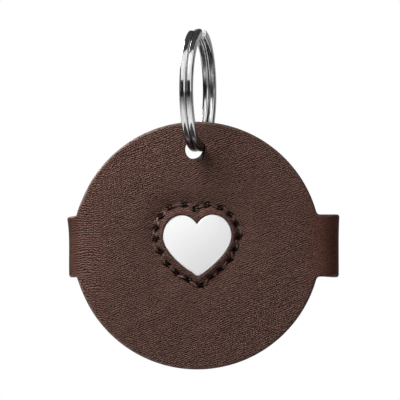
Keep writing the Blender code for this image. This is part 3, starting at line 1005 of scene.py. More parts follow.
@dataclass
class Sheet:
    """A sheet cut to a pattern: flat triangles between its borders, thickened as it is folded."""

    borders: list[Border]
    thickness: float
    dots: list[tuple[np.ndarray, float]]
    cuts: tuple[float, ...] = ()
    cut_half: float = 0.0
    cut_step: float = 0.5
    rim: float = 0.0

    def __post_init__(self) -> None:
        """Triangulates the pattern."""
        points: list[Point] = []
        edges: list[tuple[int, int]] = []
        for border in self.borders:
            for row in border.rows():
                first = len(points)
                points += row
                edges += [(first + i, first + (i + 1) % len(row)) for i in range(len(row))]
        for cut in self.cuts:
            first = len(points)
            steps = round(2 * self.cut_half / self.cut_step)
            points += [(cut, self.cut_half * (2 * i / steps - 1)) for i in range(steps + 1)]
            edges += [(first + i, first + i + 1) for i in range(steps)]
        taken = np.array(points)
        for places, room in self.dots:
            places = places[self.covers(places)]
            near = np.full(len(places), np.inf)
            for low in range(0, len(places), AT_ONCE):
                gaps = places[low : low + AT_ONCE, None] - taken[None]
                near[low : low + AT_ONCE] = np.sqrt((gaps**2).sum(axis=2).min(axis=1))
            taken = np.concatenate([taken, places[near > room]])
        flat, _, faces, *_ = delaunay_2d_cdt([Vector(p) for p in taken], edges, [], 0, 1e-5, False)
        self.flat = np.array([tuple(p) for p in flat])
        corners = np.array([face for face in faces if len(face) == 3])
        middles = self.flat[corners].mean(axis=1)
        kept = self.covers(middles)
        self.corners = corners[kept]
        self.middles = middles[kept]

    def covers(self, places: np.ndarray) -> np.ndarray:
        """Which places lie within the first border and in none of the others.

        Args:
            places: An array of places on the pattern.

        Returns:
            A true or false for each place.
        """
        found = inside(places, self.borders[0].loop)
        for border in self.borders[1:]:
            found &= ~inside(places, border.loop)
        return found

    def rounding(self, rear: bool) -> np.ndarray:
        """How far the face or the rear falls towards the cut edges.

        Args:
            rear: Whether it is the rear.

        Returns:
            The fall at each point of the pattern.
        """
        fall = np.zeros(len(self.flat))
        for border in self.borders:
            radius = border.rear if rear else border.face
            short = np.clip(radius - distances(self.flat, border.loop), 0, radius)
            fall = np.maximum(fall, radius - np.sqrt(np.maximum(radius**2 - short**2, 0)))
        return fall

    def thicken(
        self,
        fold: Callable[[np.ndarray, np.ndarray], np.ndarray],
        face: np.ndarray,
        rear: np.ndarray,
    ) -> None:
        """Works out where each point of both faces lies.

        Args:
            fold: Turns pattern places and heights over the middle of the sheet into space.
            face: The face's height over its flat place, for each point.
            rear: The rear's height over its flat place, towards the face.
        """
        half = self.thickness / 2
        heights = np.concatenate([half + face - self.rounding(False), -half + rear + self.rounding(True)])
        places = np.concatenate([self.flat, self.flat])
        self.space = fold(places, heights)
        self.pattern = np.column_stack([places, heights])
        self.normals = np.zeros_like(self.space)
        for corners in self.shell(np.ones(len(self.corners), bool)):
            self.add_normals(corners)

    def add_normals(self, corners: np.ndarray) -> None:
        """Adds each face's area-weighted normal to its corners.

        Args:
            corners: The faces' corner numbers, an array of threes or fours.
        """
        a, b, c = (self.space[corners[:, i]] for i in (0, 1, 2))
        normal = np.cross(b - a, c - a)
        for column in range(corners.shape[1]):
            np.add.at(self.normals, corners[:, column], normal)

    def shell(self, chosen: np.ndarray) -> list[np.ndarray]:
        """The faces of the thick sheet over some of its triangles.

        Args:
            chosen: Which triangles.

        Returns:
            The corner numbers of the face, the rear and the cut edges.
        """
        count = len(self.flat)
        face = self.corners[chosen]
        rear = face[:, ::-1] + count
        edges = np.concatenate([face[:, [0, 1]], face[:, [1, 2]], face[:, [2, 0]]])
        keys = edges[:, 0] * count + edges[:, 1]
        lone = edges[~np.isin(keys, edges[:, 1] * count + edges[:, 0])]
        walls = np.column_stack([lone[:, 1], lone[:, 0], lone[:, 0] + count, lone[:, 1] + count])
        return [face, rear, walls]

    def piece(
        self, name: str, finishes: Sequence[Finish], chosen: np.ndarray | None = None
    ) -> bpy.types.Object:
        """Makes an object of some of the sheet.

        Args:
            name: The object's name.
            finishes: The finishes of its face, its rear and its cut edges.
            chosen: Which triangles it has, or all of them.

        Returns:
            The object.
        """
        if chosen is None:
            chosen = np.ones(len(self.corners), bool)
        groups = self.shell(chosen)
        used = np.unique(np.concatenate([group.ravel() for group in groups]))
        number = np.full(len(self.space), -1)
        number[used] = np.arange(len(used))
        faces = [tuple(number[corners]) for group in groups for corners in group]
        rims = distances(self.middles[chosen], self.borders[0].loop) < self.rim
        kinds = [2 if rim else 0 for rim in rims]
        kinds += [kind for kind in (1, 2) for _ in groups[kind]]
        made = new_piece(name, self.space[used], faces, finishes, self.pattern[used], kinds)
        normals = self.normals[used]
        normals /= np.linalg.norm(normals, axis=1, keepdims=True)
        made.data.normals_split_custom_set_from_vertices([tuple(normal) for normal in normals])
        return made


def new_piece(
    name: str,
    space: np.ndarray,
    faces: Sequence[Sequence[int]],
    finishes: Sequence[Finish],
    pattern: np.ndarray,
    kinds: Sequence[int] | None = None,
    sharp: float | None = None,
) -> bpy.types.Object:
    """Makes a mesh object, with its place on the pattern kept at each point.

    Args:
        name: The object's name.
        space: Its points, in millimetres from the middle of the round front.
        faces: Each face's corner numbers.
        finishes: Its finishes.
        pattern: Each point's place on the pattern, in millimetres.
        kinds: Each face's finish, by number.
        sharp: The angle in degrees over which an edge is sharp.

    Returns:
        The object.
    """
    mesh = bpy.data.meshes.new(name)
    placed = (np.asarray(space) + np.array(CENTRE)) * MM
    mesh.from_pydata(placed.tolist(), [], [[int(i) for i in face] for face in faces])
    for finish in finishes:
        mesh.materials.append(finish.material())
    if kinds is not None:
        mesh.polygons.foreach_set("material_index", list(kinds))
    mesh.polygons.foreach_set("use_smooth", [True] * len(mesh.polygons))
    mesh.attributes.new(PATTERN, "FLOAT_VECTOR", "POINT")
    mesh.attributes[PATTERN].data.foreach_set("vector", np.asarray(pattern, np.float32).ravel())
    if sharp is not None:
        mesh.set_sharp_from_angle(angle=math.radians(sharp))
    mesh.validate()
    made = bpy.data.objects.new(name, mesh)
    bpy.context.scene.collection.objects.link(made)
    finishes[0].slot
    return made


def kept_on(piece: bpy.types.Object, body: str, *nodes: str) -> None:
    """Lets a piece ride on a body in place of CAD nodes, and logs it.

    Args:
        piece: The piece.
        body: The CAD body.
        nodes: The CAD nodes that it stands for.
    """
    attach(piece, body)
    if nodes:
        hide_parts(*nodes)
    LOG.info("%s rides on %s", piece.name, body)


@dataclass(frozen=True)
class Fold:
    """One strap's way round its fold, from the front to behind it.

    Its top edge flares, its width tapers and it droops at the fold, and it leans back before it.
    """

    side: int
    bend: float
    radius: float
    depth: float
    flare: float
    taper: float
    droop: float
    lean: tuple[Point, ...]
    thickness: float = 1.5
    half_width: float = 6.25
    lean_reach: float = 12.0
    waist_start: float = 1.0
    waist_end: float = 7.0
    strap_reach: float = 7.0

    @property
    def quarter(self) -> float:
        """The length of one quarter turn along the middle of the leather."""
        return (self.radius - self.thickness / 2) * math.pi / 2

    @property
    def wall(self) -> float:
        """The straight stretch between the two quarter turns."""
        return self.depth - 2 * self.radius

    def along(self, x: float) -> float:
        """How far along the strap the place behind the front is that has a given x.

        Args:
            x: The place's x, towards the strap's own side.

        Returns:
            The length from the middle of the front.
        """
        return self.bend + 2 * self.quarter + self.wall + self.bend - x

    def place(self, along: np.ndarray, across: np.ndarray, height: np.ndarray) -> np.ndarray:
        """Folds places.

        Args:
            along: The length from the middle of the front towards the strap's side.
            across: The height on the front.
            height: The distance over the middle of the leather, towards its face.

        Returns:
            The places in space.
        """
        middle = self.radius - self.thickness / 2
        first, last = self.bend + self.quarter, self.bend + self.quarter + self.wall
        done = along - self.bend
        turn = np.where(done < self.quarter, done, np.maximum(done - self.wall, self.quarter))
        turn = np.clip(turn, 0, 2 * self.quarter) / middle - math.pi / 2
        x = self.bend + middle * np.cos(turn)
        y = middle + middle * np.sin(turn) + np.clip(along - first, 0, self.wall)
        x = np.where(along < self.bend, along, x)
        x = np.where(along > last + self.quarter, self.bend - (along - last - self.quarter), x)
        y = np.where(along < self.bend, 0.0, y)
        out_x, out_y = np.cos(turn), np.sin(turn)
        high = across / self.half_width
        height = height + self.flare * (1 + high) / 2 * high**2 * np.maximum(out_x, 0) ** 2
        y = y + curved([*self.lean, (last, 0.0)], along) * np.exp(-((across / self.lean_reach) ** 2))
        start, end = self.bend - self.waist_start, last + self.quarter + self.waist_end
        waist = curved([(start, 0.0), (first, 1.0), (last, 1.0), (end, 0.0)], along)
        across = across - (self.taper * across + self.droop) * waist * (np.abs(across) < self.strap_reach)
        return np.column_stack([self.side * (x + out_x * height), y + out_y * height, across])


@dataclass(frozen=True)
class HolderLeather:
    """The one piece of leather: round front, two ears folded back, and the straps behind."""

    radius: float = 25.0
    thickness: float = 1.5
    strap_half: float = 6.25
    strap_corner: float = 5.0
    fillets: Point = (0.9, 0.2)
    outer_end: float = -9.0
    inner_end: float = -7.5
    edge: float = 0.5
    rear_edge: float = 0.2
    hole_radius: float = 2.05
    hole_x: float = -0.15
    hole_to_rim: float = 5.7
    hole_slant: Point = (-0.85, 0.32)
    slant_reach: float = 1.6
    window_gap: float = 0.05
    shaped: float = 17.0
    puffed: tuple[Point, ...] = (
        (0, 0.26), (0.1, 0.40), (0.25, 0.40), (0.45, 0.22), (0.68, -0.15), (0.88, -0.6), (1, -0.82),
    )
    sunk: tuple[Point, ...] = (
        (0, -0.82), (0.6, -0.74), (1.4, -0.55), (2.4, -0.29), (3.4, -0.12), (4.6, -0.03), (6.5, 0),
    )
    lopsided: float = -0.35
    lopsided_way: float = 40.0
    lopsided_from: float = 0.8
    hole_dip: Point = (0.15, 0.65)
    pucker: Triple = (0.035, 0.7, 0.6)
    pucker_turn: float = 0.7
    swell: float = 0.035
    swell_waves: tuple[Triple, Triple, Triple] = (
        (0.21, 0.0, 0.4), (0.0, 0.26, 1.1), (0.43, -0.37, 0.0),
    )
    swell_third: float = 0.6
    swell_end: float = 30.0
    swell_fade: float = 6.0
    ring_hole_dip: Point = (0.06, 0.8)
    cap_mark: Triple = (0.12, 5.1, 0.7)
    flange_seat: tuple[Point, Point] = ((0.8, 0.62), (1.05, 0.0))
    socket_seat: Point = (4.3, 0.45)
    post_seat: Point = (3.7, 0.55)
    stud_seat: tuple[Point, Point] = ((3.8, 0.4), (4.0, 0.0))
    seat_edge: float = 0.1
    cut: float = 21.0
    cut_past: float = 0.5
    rim_share: float = 0.8
    snap_x: float = 0.0
    cap_hole: float = 1.75
    post_hole: float = 1.05
    window_edges: Point = (0.2, 0.1)
    hole_edges: Point = (0.32, 0.2)
    slit_edges: Point = (0.24, 0.06)
    stud_edges: Point = (0.1, 0.1)
    span: tuple[Point, Point] = ((-64.0, -25.0), (72.0, 25.0))
    step: float = 0.52
    fine_span: tuple[Point, Point] = ((-11.0, -11.0), (11.0, 11.0))
    fine_step: float = 0.21
    fine_at_seam: float = 2.2
    fine_at_window: float = 1.2
    socket_rings: tuple[float, ...] = (4.2, 4.3, 4.4)
    stud_rings: tuple[float, ...] = (3.6, 3.7, 3.8, 3.9, 4.0)
    rooms: Triple = (0.1, 0.02, 0.3)
    longest_edge: float = 0.45
    fillet_steps: int = 6
    corner_steps: int = 8
    rim_steps: int = 180
    hole_steps: int = 64
    snap_steps: int = 40
    seat_steps: int = 60
    pivot_in: Point = (1.2, 3.0)
    heart: HeartShape = HeartShape()
    seam: Seam = Seam()
    outer: Fold = Fold(
        side=1, bend=24.5, radius=4.2, depth=11.4, flare=0.15, taper=-0.02, droop=0.1,
        lean=((18.0, 0.0), (22.0, 0.12), (25.0, 0.45), (28.0, 0.7), (31.0, 0.7)),
    )
    inner: Fold = Fold(
        side=-1, bend=23.1, radius=2.8, depth=8.7, flare=0.46, taper=0.02, droop=0.35,
        lean=(
            (16.0, 0.0), (19.5, 0.16), (21.5, 0.5), (23.0, 0.98), (24.0, 1.3), (25.2, 1.5), (26.4, 1.5),
        ),
    )

    def outline(self) -> Loop:
        """The whole pattern, laid flat.

        Returns:
            Its outline, counter-clockwise.
        """
        outer, inner = (math.asin((self.strap_half + f) / (self.radius + f)) for f in self.fillets)
        made: Loop = []
        for fold, end, fillet, root, after, turn in (
            (self.outer, self.outer_end, self.fillets[0], outer, inner, 0),
            (self.inner, self.inner_end, self.fillets[1], inner, outer, 180),
        ):
            tip = fold.along(end)
            low = (tip - self.strap_corner, self.strap_corner - self.strap_half)
            middle = ((self.radius + fillet) * math.cos(root), -self.strap_half - fillet)
            ear = arc(middle, fillet, 180 - math.degrees(root), 90, self.fillet_steps)
            ear += arc(low, self.strap_corner, -90, 0, self.corner_steps)
            ear += [(x, -z) for x, z in reversed(ear)]
            made += [(x * fold.side, z * fold.side) for x, z in ear]
            start, stop = turn + math.degrees(root), turn + 180 - math.degrees(after)
            made += arc((0, 0), self.radius, start, stop, self.rim_steps)[1:-1]
        return divided(made, self.longest_edge)

    def snap(self, fold: Fold) -> Point:
        """The press stud's place on the pattern of one strap."""
        return (fold.side * fold.along(self.snap_x * fold.side), 0.0)

    def window(self) -> Loop:
        """The opening for the heart."""
        return grown(self.heart.outline(), self.window_gap)

    def relief(self, places: np.ndarray) -> np.ndarray:
        """How far the leather's face stands out over flat, where the seam and the heart shape it.

        Args:
            places: Places on the pattern.

        Returns:
            The relief at each place.
        """
        made = np.zeros(len(places))
        near = np.hypot(places[:, 0], places[:, 1]) < self.shaped
        made[near] = self.seam_relief(places[near])
        u, v = places.T
        first, second, third = (np.sin(a * u + b * v + c) for a, b, c in self.swell_waves)
        swell = self.swell * (first * second + self.swell_third * third)
        made += swell * np.clip((self.swell_end - np.abs(u)) / self.swell_fade, 0, 1)
        away = np.hypot(u - self.hole_x, v - (self.radius - self.hole_to_rim))
        depth, width = self.ring_hole_dip
        return made - depth * np.exp(-(((away - self.hole_radius) / width) ** 2))

    def seam_relief(self, spots: np.ndarray) -> np.ndarray:
        """The relief near the heart: puffed between it and the seam, and sunk round the seam.

        Args:
            spots: Places near the heart.

        Returns:
            The relief at each place.
        """
        line = self.seam.line()
        from_heart = distances(spots, self.heart.outline())
        from_seam = distances(spots, line)
        puffed = curved(self.puffed, from_heart / np.maximum(from_heart + from_seam, 1e-6))
        sunk = curved(self.sunk, from_seam)
        angle = np.arctan2(spots[:, 1], spots[:, 0])
        wide = curved([(0.0, 0.0), (self.lopsided_from, 1.0)], from_seam)
        sunk *= 1 + self.lopsided * wide * np.cos(angle + math.radians(self.lopsided_way))
        height = np.where(inside(spots, line), puffed, sunk)
        for x, z, _ in self.seam.holes:
            away = np.hypot(spots[:, 0] - x, spots[:, 1] - z)
            height -= self.hole_dip[0] * np.exp(-((away / self.hole_dip[1]) ** 2))
        size, middle, width = self.pucker
        waves = np.sin(len(self.seam.holes) * angle + self.pucker_turn)
        return height + size * waves * np.exp(-(((from_seam - middle) / width) ** 2))

    def rear_relief(self, places: np.ndarray) -> np.ndarray:
        """How far the leather's rear is sunk: for the heart's flange and the press stud.

        Args:
            places: Places on the pattern.

        Returns:
            The depth at each place, towards the face.
        """
        made = np.zeros(len(places))
        near = np.hypot(places[:, 0], places[:, 1]) < self.shaped
        spots = places[near]
        heart = self.heart.outline()
        made[near] = curved(self.flange_seat, np.where(inside(spots, heart), 0, distances(spots, heart)))
        for fold, (radius, depth) in ((self.outer, self.socket_seat), (self.inner, self.post_seat)):
            away = np.hypot(places[:, 0] - self.snap(fold)[0], places[:, 1])
            seat = [(radius - self.seat_edge, depth), (radius + self.seat_edge, 0.0)]
            made += curved(seat, away)
        return made

    def face_relief(self, places: np.ndarray) -> np.ndarray:
        """The face's relief, with the stud's seat and the mark round the cap.

        Args:
            places: Places on the pattern.

        Returns:
            The height at each place.
        """
        made = self.relief(places)
        u, v = places.T
        away = np.hypot(u - self.snap(self.inner)[0], v)
        made -= curved(self.stud_seat, away)
        away = np.hypot(u - self.snap(self.outer)[0], v)
        depth, radius, width = self.cap_mark
        return made - depth * np.exp(-(((away - radius) / width) ** 2))

    def folded(self, places: np.ndarray, heights: np.ndarray) -> np.ndarray:
        """Folds places of the pattern.

        Args:
            places: The places.
            heights: Their heights over the middle of the leather.

        Returns:
            The places in space.
        """
        away = np.hypot(places[:, 0] - self.hole_x, places[:, 1] - self.radius + self.hole_to_rim)
        slant = curved([(self.hole_radius, 1.0), (self.hole_radius + self.slant_reach, 0.0)], away)
        slant *= np.clip(0.5 - heights / self.thickness, 0, 1)
        places = places + slant[:, None] * np.array(self.hole_slant)
        right = self.outer.place(places[:, 0], places[:, 1], heights)
        left = self.inner.place(-places[:, 0], places[:, 1], heights)
        return np.where(places[:, :1] > 0, right, left)

    def borders(self) -> list[Border]:
        """The pattern's outline and every hole in it, each with its rounding.

        Returns:
            The borders, the outline first.
        """
        hole = (self.hole_x, self.radius - self.hole_to_rim)
        made = [
            Border(self.outline(), self.edge, self.rear_edge, hole=False),
            Border(self.window(), *self.window_edges),
            Border(circle(hole, self.hole_radius, self.hole_steps), *self.hole_edges),
        ]
        made += [Border(self.seam.slit(hole), *self.slit_edges) for hole in self.seam.holes]
        for fold, radius in ((self.outer, self.cap_hole), (self.inner, self.post_hole)):
            made.append(Border(circle(self.snap(fold), radius, self.snap_steps), *self.stud_edges))
        return made

    def sheet(self) -> Sheet:
        """Cuts and thickens the leather.

        Returns:
            The sheet, folded.
        """
        fine = dotted(*self.fine_span, self.fine_step)
        near = distances(fine, self.seam.line()) < self.fine_at_seam
        near |= distances(fine, self.window()) < self.fine_at_window
        rings = []
        for fold, radii in ((self.outer, self.socket_rings), (self.inner, self.stud_rings)):
            rings += [circle(self.snap(fold), radius, self.seat_steps) for radius in radii]
        dots = [
            (fine[near], self.rooms[0]),
            (np.array([point for ring in rings for point in ring]), self.rooms[1]),
            (dotted(*self.span, self.step), self.rooms[2]),
        ]
        made = Sheet(
            self.borders(),
            self.thickness,
            dots,
            cuts=(-self.cut, self.cut),
            cut_half=math.sqrt(self.radius**2 - self.cut**2) + self.cut_past,
            rim=self.edge * self.rim_share,
        )
        made.thicken(self.folded, self.face_relief(made.flat), self.rear_relief(made.flat))
        return made

    def build(self) -> None:
        """Makes the leather in three pieces that meet flush on the flat of the front."""
        made = self.sheet()
        finishes = (Finish.GRAIN, Finish.FLESH, Finish.EDGE)
        u = made.middles[:, 0]
        front = made.piece("leather_front", finishes, np.abs(u) < self.cut)
        kept_on(front, "holder", "front_panel")
        for name, node, body, fold, chosen in (
            ("leather_outer_strap", "outer_flap", "outer_strap", self.outer, u > self.cut),
            ("leather_inner_strap", "inner_flap", "inner_strap", self.inner, u < -self.cut),
        ):
            strap = made.piece(name, finishes, chosen)
            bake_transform(strap)
            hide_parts(node)
            LOG.info("%s bends from holder to %s", name, body)


@dataclass(frozen=True)
class HeartInlay:
    """The white heart, domed and rounded at its edge, with the flange that the leather holds."""

    shape: HeartShape = HeartShape()
    face: float = -1.55
    rear: float = 0.75
    rounding: float = 0.22
    crown: float = 0.55
    flange: float = 0.7
    flange_thickness: float = 0.5
    flange_edge: float = 0.08
    shrink: float = 0.02
    row_shares: tuple[float, ...] = (0.06, 0.2, 0.4, 0.65, 1.0, 1.4)
    foot: float = 0.03
    span: tuple[Point, Point] = ((-9.0, -9.0), (9.0, 9.0))
    step: float = 0.34
    rooms: Point = (0.02, 0.2)
    on_line: float = 0.005

    def build(self) -> None:
        """Makes the heart."""
        outline = grown(self.shape.outline(), -self.shrink)
        thickness = self.rear - self.face
        edge = Border(grown(outline, self.flange), self.flange_edge, self.flange_edge, hole=False)
        dots = [(np.array(grown(outline, self.foot)), 0.0), (np.array(outline), 0.0)]
        for share in self.row_shares:
            dots.append((np.array(grown(outline, -self.rounding * share)), self.rooms[0]))
        dots.append((dotted(*self.span, self.step), self.rooms[1]))
        sheet = Sheet([edge], thickness, dots)
        reach = distances(sheet.flat, outline)
        within = inside(sheet.flat, outline) | (reach < self.on_line)
        short = np.clip(self.rounding - reach, 0, self.rounding)
        dome = np.sqrt(np.maximum(self.rounding**2 - short**2, 0)) - self.rounding
        crown = -self.crown * np.sum((sheet.flat / self.shape.half_width) ** 2, axis=1)
        face = np.where(within, dome + crown, self.flange_thickness - thickness)
        sheet.thicken(self.upright, face, np.zeros(len(sheet.flat)))
        kept_on(sheet.piece("heart_inlay_domed", (Finish.INLAY,) * 3), "holder", "heart_inlay")

    def upright(self, places: np.ndarray, heights: np.ndarray) -> np.ndarray:
        """Stands flat places up in the front.

        Args:
            places: The places.
            heights: Their heights over the middle of the heart's thickness.

        Returns:
            The places in space.
        """
        middle = (self.face + self.rear) / 2
        return np.column_stack([places[:, 0], middle - heights, places[:, 1]])


@dataclass(frozen=True)
class BackingPatch:
    """The thin leather patch sewn behind the heart, grain side out."""

    shape: HeartShape = HeartShape()
    seam: Seam = Seam()
    reach: float = 3.3
    front: float = 0.8
    thickness: float = 0.85
    edges: Point = (0.2, 0.1)
    slit_share: float = 0.5
    slit_edges: Point = (0.06, 0.03)
    sunk: tuple[Point, ...] = ((0, -0.16), (0.8, -0.06), (2.0, 0.0))
    hole_dip: Point = (0.06, 0.55)
    crown: Triple = (0.06, 4.0, 1.0)
    span: tuple[Point, Point] = ((-12.0, -12.0), (12.0, 12.0))
    step: float = 0.42
    room: float = 0.2

    @property
    def rear(self) -> float:
        """The depth of the side that shows in the pocket."""
        return self.front + self.thickness

    def relief(self, places: np.ndarray) -> np.ndarray:
        """How far the patch stands out over flat, into the pocket.

        Args:
            places: The places.

        Returns:
            The relief at each place.
        """
        made = curved(self.sunk, distances(places, self.seam.line()))
        for x, z, _ in self.seam.holes:
            away = np.hypot(places[:, 0] - x, places[:, 1] - z)
            made -= self.hole_dip[0] * np.exp(-((away / self.hole_dip[1]) ** 2))
        height, width, middle = self.crown
        away = np.hypot(places[:, 0], places[:, 1] - middle)
        return made + height * np.exp(-((away / width) ** 2))

    def mirrored(self, places: np.ndarray, heights: np.ndarray) -> np.ndarray:
        """Stands flat places up, seen from behind.

        Args:
            places: The places.
            heights: Their heights over the middle of the patch.

        Returns:
            The places in space.
        """
        middle = self.front + self.thickness / 2
        return np.column_stack([-places[:, 0], middle + heights, places[:, 1]])

    def build(self) -> None:
        """Makes the patch."""
        borders = [Border(grown(self.shape.outline(), self.reach), *self.edges, hole=False)]
        for hole in self.seam.holes:
            slit = reversed(self.seam.slit(hole, self.slit_share))
            borders.append(Border([(-x, z) for x, z in slit], *self.slit_edges))
        sheet = Sheet(borders, self.thickness, [(dotted(*self.span, self.step), self.room)])
        sheet.thicken(self.mirrored, self.relief(sheet.flat * (-1, 1)), np.zeros(len(sheet.flat)))
        patch = sheet.piece("backing_patch_leather", (Finish.GRAIN, Finish.FLESH, Finish.EDGE))
        kept_on(patch, "holder", "backing_patch")


def swept(
    line: np.ndarray, rights: np.ndarray, ups: np.ndarray, section: np.ndarray, closed: bool
) -> tuple[np.ndarray, list[tuple[int, ...]]]:
    """Sweeps a section along a line.

    Args:
        line: The line's points.
        rights: The section's first axis at each point.
        ups: Its second axis.
        section: The section's points at each point of the line, two numbers each.
        closed: Whether the line runs back to its first point. Otherwise its ends are closed.

    Returns:
        The surface's points and faces.
    """
    count, around = section.shape[:2]
    space = line[:, None] + rights[:, None] * section[..., :1] + ups[:, None] * section[..., 1:]
    faces = []
    for row in range(count if closed else count - 1):
        here, after = row * around, (row + 1) % count * around
        for i in range(around):
            j = (i + 1) % around
            faces.append((here + i, here + j, after + j, after + i))
    if not closed:
        faces.append(tuple(reversed(range(around))))
        faces.append(tuple(range((count - 1) * around, count * around)))
    return space.reshape(-1, 3), faces


@dataclass(frozen=True)
class SeamThread:
    """One of the seam's two threads: three twisted strands that dip into every hole."""

    seam: Seam = Seam()
    leather: HolderLeather = HolderLeather()
    patch: BackingPatch = BackingPatch()
    radius: float = 0.26
    lobe: float = 0.22
    twists_per_mm: float = 0.42
    around: int = 15
    in_hole: float = 0.6
    past_lock: float = 0.12
    leave_share: float = 1.3
    lock: float = 1.0
    dip_shares: Triple = (1.2, 0.95, 0.7)
    lift_share: float = 0.35
    mouth_depth: float = 0.3
    lock_rise: float = 0.1
    top_shares: Triple = (0.22, 0.5, 0.78)
    line_parts: int = 5
    strands: int = 3
    steep: float = 0.2

    def surface(self, places: np.ndarray, rear: bool) -> np.ndarray:
        """The depth of the leather or the patch that the thread lies on.

        Args:
            places: The places.
            rear: Whether it is the patch, in the pocket.

        Returns:
            The depths, along +Y.
        """
        if rear:
            return self.patch.rear + self.patch.relief(places)
        return -self.leather.thickness / 2 - self.leather.relief(places)

    def line(self, rear: bool) -> np.ndarray:
        """The thread's centre line.

        Args:
            rear: Whether it is the thread behind.

        Returns:
            Its points.
        """
        outwards = 1 if rear else -1
        lift = outwards * self.radius
        deep = self.lock + outwards * (self.radius + self.past_lock)
        points = []
        holes = self.seam.holes
        for hole, after in zip(holes, holes[1:] + holes[:1]):
            way = self.way(hole, self.leaning_back(hole, after))
            centre = np.array(hole[:2])
            mouth = self.surface(centre[None], rear)[0]
            depths = (
                mouth + lift * self.lift_share,
                mouth - outwards * self.mouth_depth,
                deep - outwards * self.lock_rise,
            )
            dip = list(zip(self.dip_shares, depths))
            for share, depth in (*((-s, d) for s, d in dip), (0.0, deep), *reversed(dip)):
                spot = centre + way * share * self.in_hole
                points.append((spot[0], depth, spot[1]))
            next_way = self.way(after, self.leaning_back(after, hole, True))
            leave = centre + way * self.in_hole * self.leave_share
            arrive = np.array(after[:2]) - next_way * self.in_hole * self.leave_share
            for share in self.top_shares:
                spot = leave + (arrive - leave) * share
                rise = self.surface(spot[None], rear)[0] + lift
                points.append((spot[0], rise, spot[1]))
        return through(points, self.line_parts)

    @staticmethod
    def way(hole: Triple, back: bool) -> np.ndarray:
        """The direction along a hole's slant, or back along it."""
        slant = math.radians(hole[2] + (180 if back else 0))
        return np.array([math.cos(slant), math.sin(slant)])

    @staticmethod
    def leaning_back(hole: Triple, other: Triple, before: bool = False) -> bool:
        """Whether a hole's slant points away from the next hole.

        Args:
            hole: The hole.
            other: The next hole, or the one before it.
            before: Whether the other hole is the one before.

        Returns:
            True if it does.
        """
        slant = math.radians(hole[2])
        ahead = math.cos(slant) * (other[0] - hole[0]) + math.sin(slant) * (other[1] - hole[1])
        return ahead > 0 if before else ahead < 0

    def build(self, name: str, node: str, rear: bool) -> None:
        """Makes one thread.

        Args:
            name: The piece's name.
            node: The CAD node that it stands for.
            rear: Whether it is the thread behind.
        """
        line = self.line(rear)
        runs = np.roll(line, -1, axis=0) - np.roll(line, 1, axis=0)
        runs /= np.linalg.norm(runs, axis=1, keepdims=True)
        rights = np.cross(runs, (0.0, 1.0, 0.0))
        flat = np.linalg.norm(rights, axis=1) < self.steep
        rights[flat] = np.nan
        for index in np.flatnonzero(flat):
            rights[index] = rights[index - 1]
        rights -= runs * (rights * runs).sum(axis=1, keepdims=True)
        rights /= np.linalg.norm(rights, axis=1, keepdims=True)
        ups = np.cross(rights, runs)
        lengths = np.linalg.norm(np.roll(line, -1, axis=0) - line, axis=1)
        gone = np.concatenate([[0.0], np.cumsum(lengths)])
        turns = round(gone[-1] * self.twists_per_mm)
        angles = np.arange(self.around) * math.tau / self.around
        twist = gone[:-1, None] / gone[-1] * turns * math.tau
        lobes = np.cos(self.strands * (angles[None] - twist))
        radii = self.radius * (1 + self.lobe * (lobes - 1) / 2)
        section = np.stack([radii * np.cos(angles), radii * np.sin(angles)], axis=2)
        space, faces = swept(line, rights, ups, section, closed=True)
        along = np.repeat(gone[:-1], self.around)
        outwards = 1 if rear else -1
        sunk = outwards * (self.surface(line[:, [0, 2]], rear) - line[:, 1])
        pattern = np.column_stack([along, np.tile(angles, len(line)), np.repeat(sunk, self.around)])
        kept_on(new_piece(name, space, faces, (Finish.THREAD,), pattern), "holder", node)


@dataclass(frozen=True)
class Turned:
    """A turned piece on the press stud's axis, its profile in (radius, depth over its base)."""

    name: str
    node: str
    body: str
    base: float
    profile: tuple[Point, ...]
    steps: int = 96
    sharp: float = 40.0

    def build(self) -> None:
        """Makes the piece from its profile, which starts on the cap's side."""
        angles = np.arange(self.steps) * math.tau / self.steps
        space, pattern, faces, rings = [], [], [], []
        gone = 0.0
        before = self.profile[0]
        for radius, depth in self.profile:
            gone += math.dist(before, (radius, depth))
            before = (radius, depth)
            turned = angles if radius > 0 else angles[:1]
            rings.append(range(len(space), len(space) + len(turned)))
            for angle in turned:
                across, up = radius * math.cos(angle), radius * math.sin(angle)
                space.append((across, self.base + depth, up))
                pattern.append((across, gone, up))
        pairs = list(zip(rings, rings[1:]))
        if self.profile[0][0] > 0:
            pairs.append((rings[-1], rings[0]))
        for first, second in pairs:
            for i in range(self.steps):
                j = (i + 1) % self.steps
                turns = ((first, i), (first, j), (second, j), (second, i))
                faces.append(tuple(dict.fromkeys(ring[k % len(ring)] for ring, k in turns)))
        finish = (Finish.NICKEL,)
        piece = new_piece(self.name, np.array(space), faces, finish, np.array(pattern), sharp=self.sharp)
        kept_on(piece, self.body, self.node)


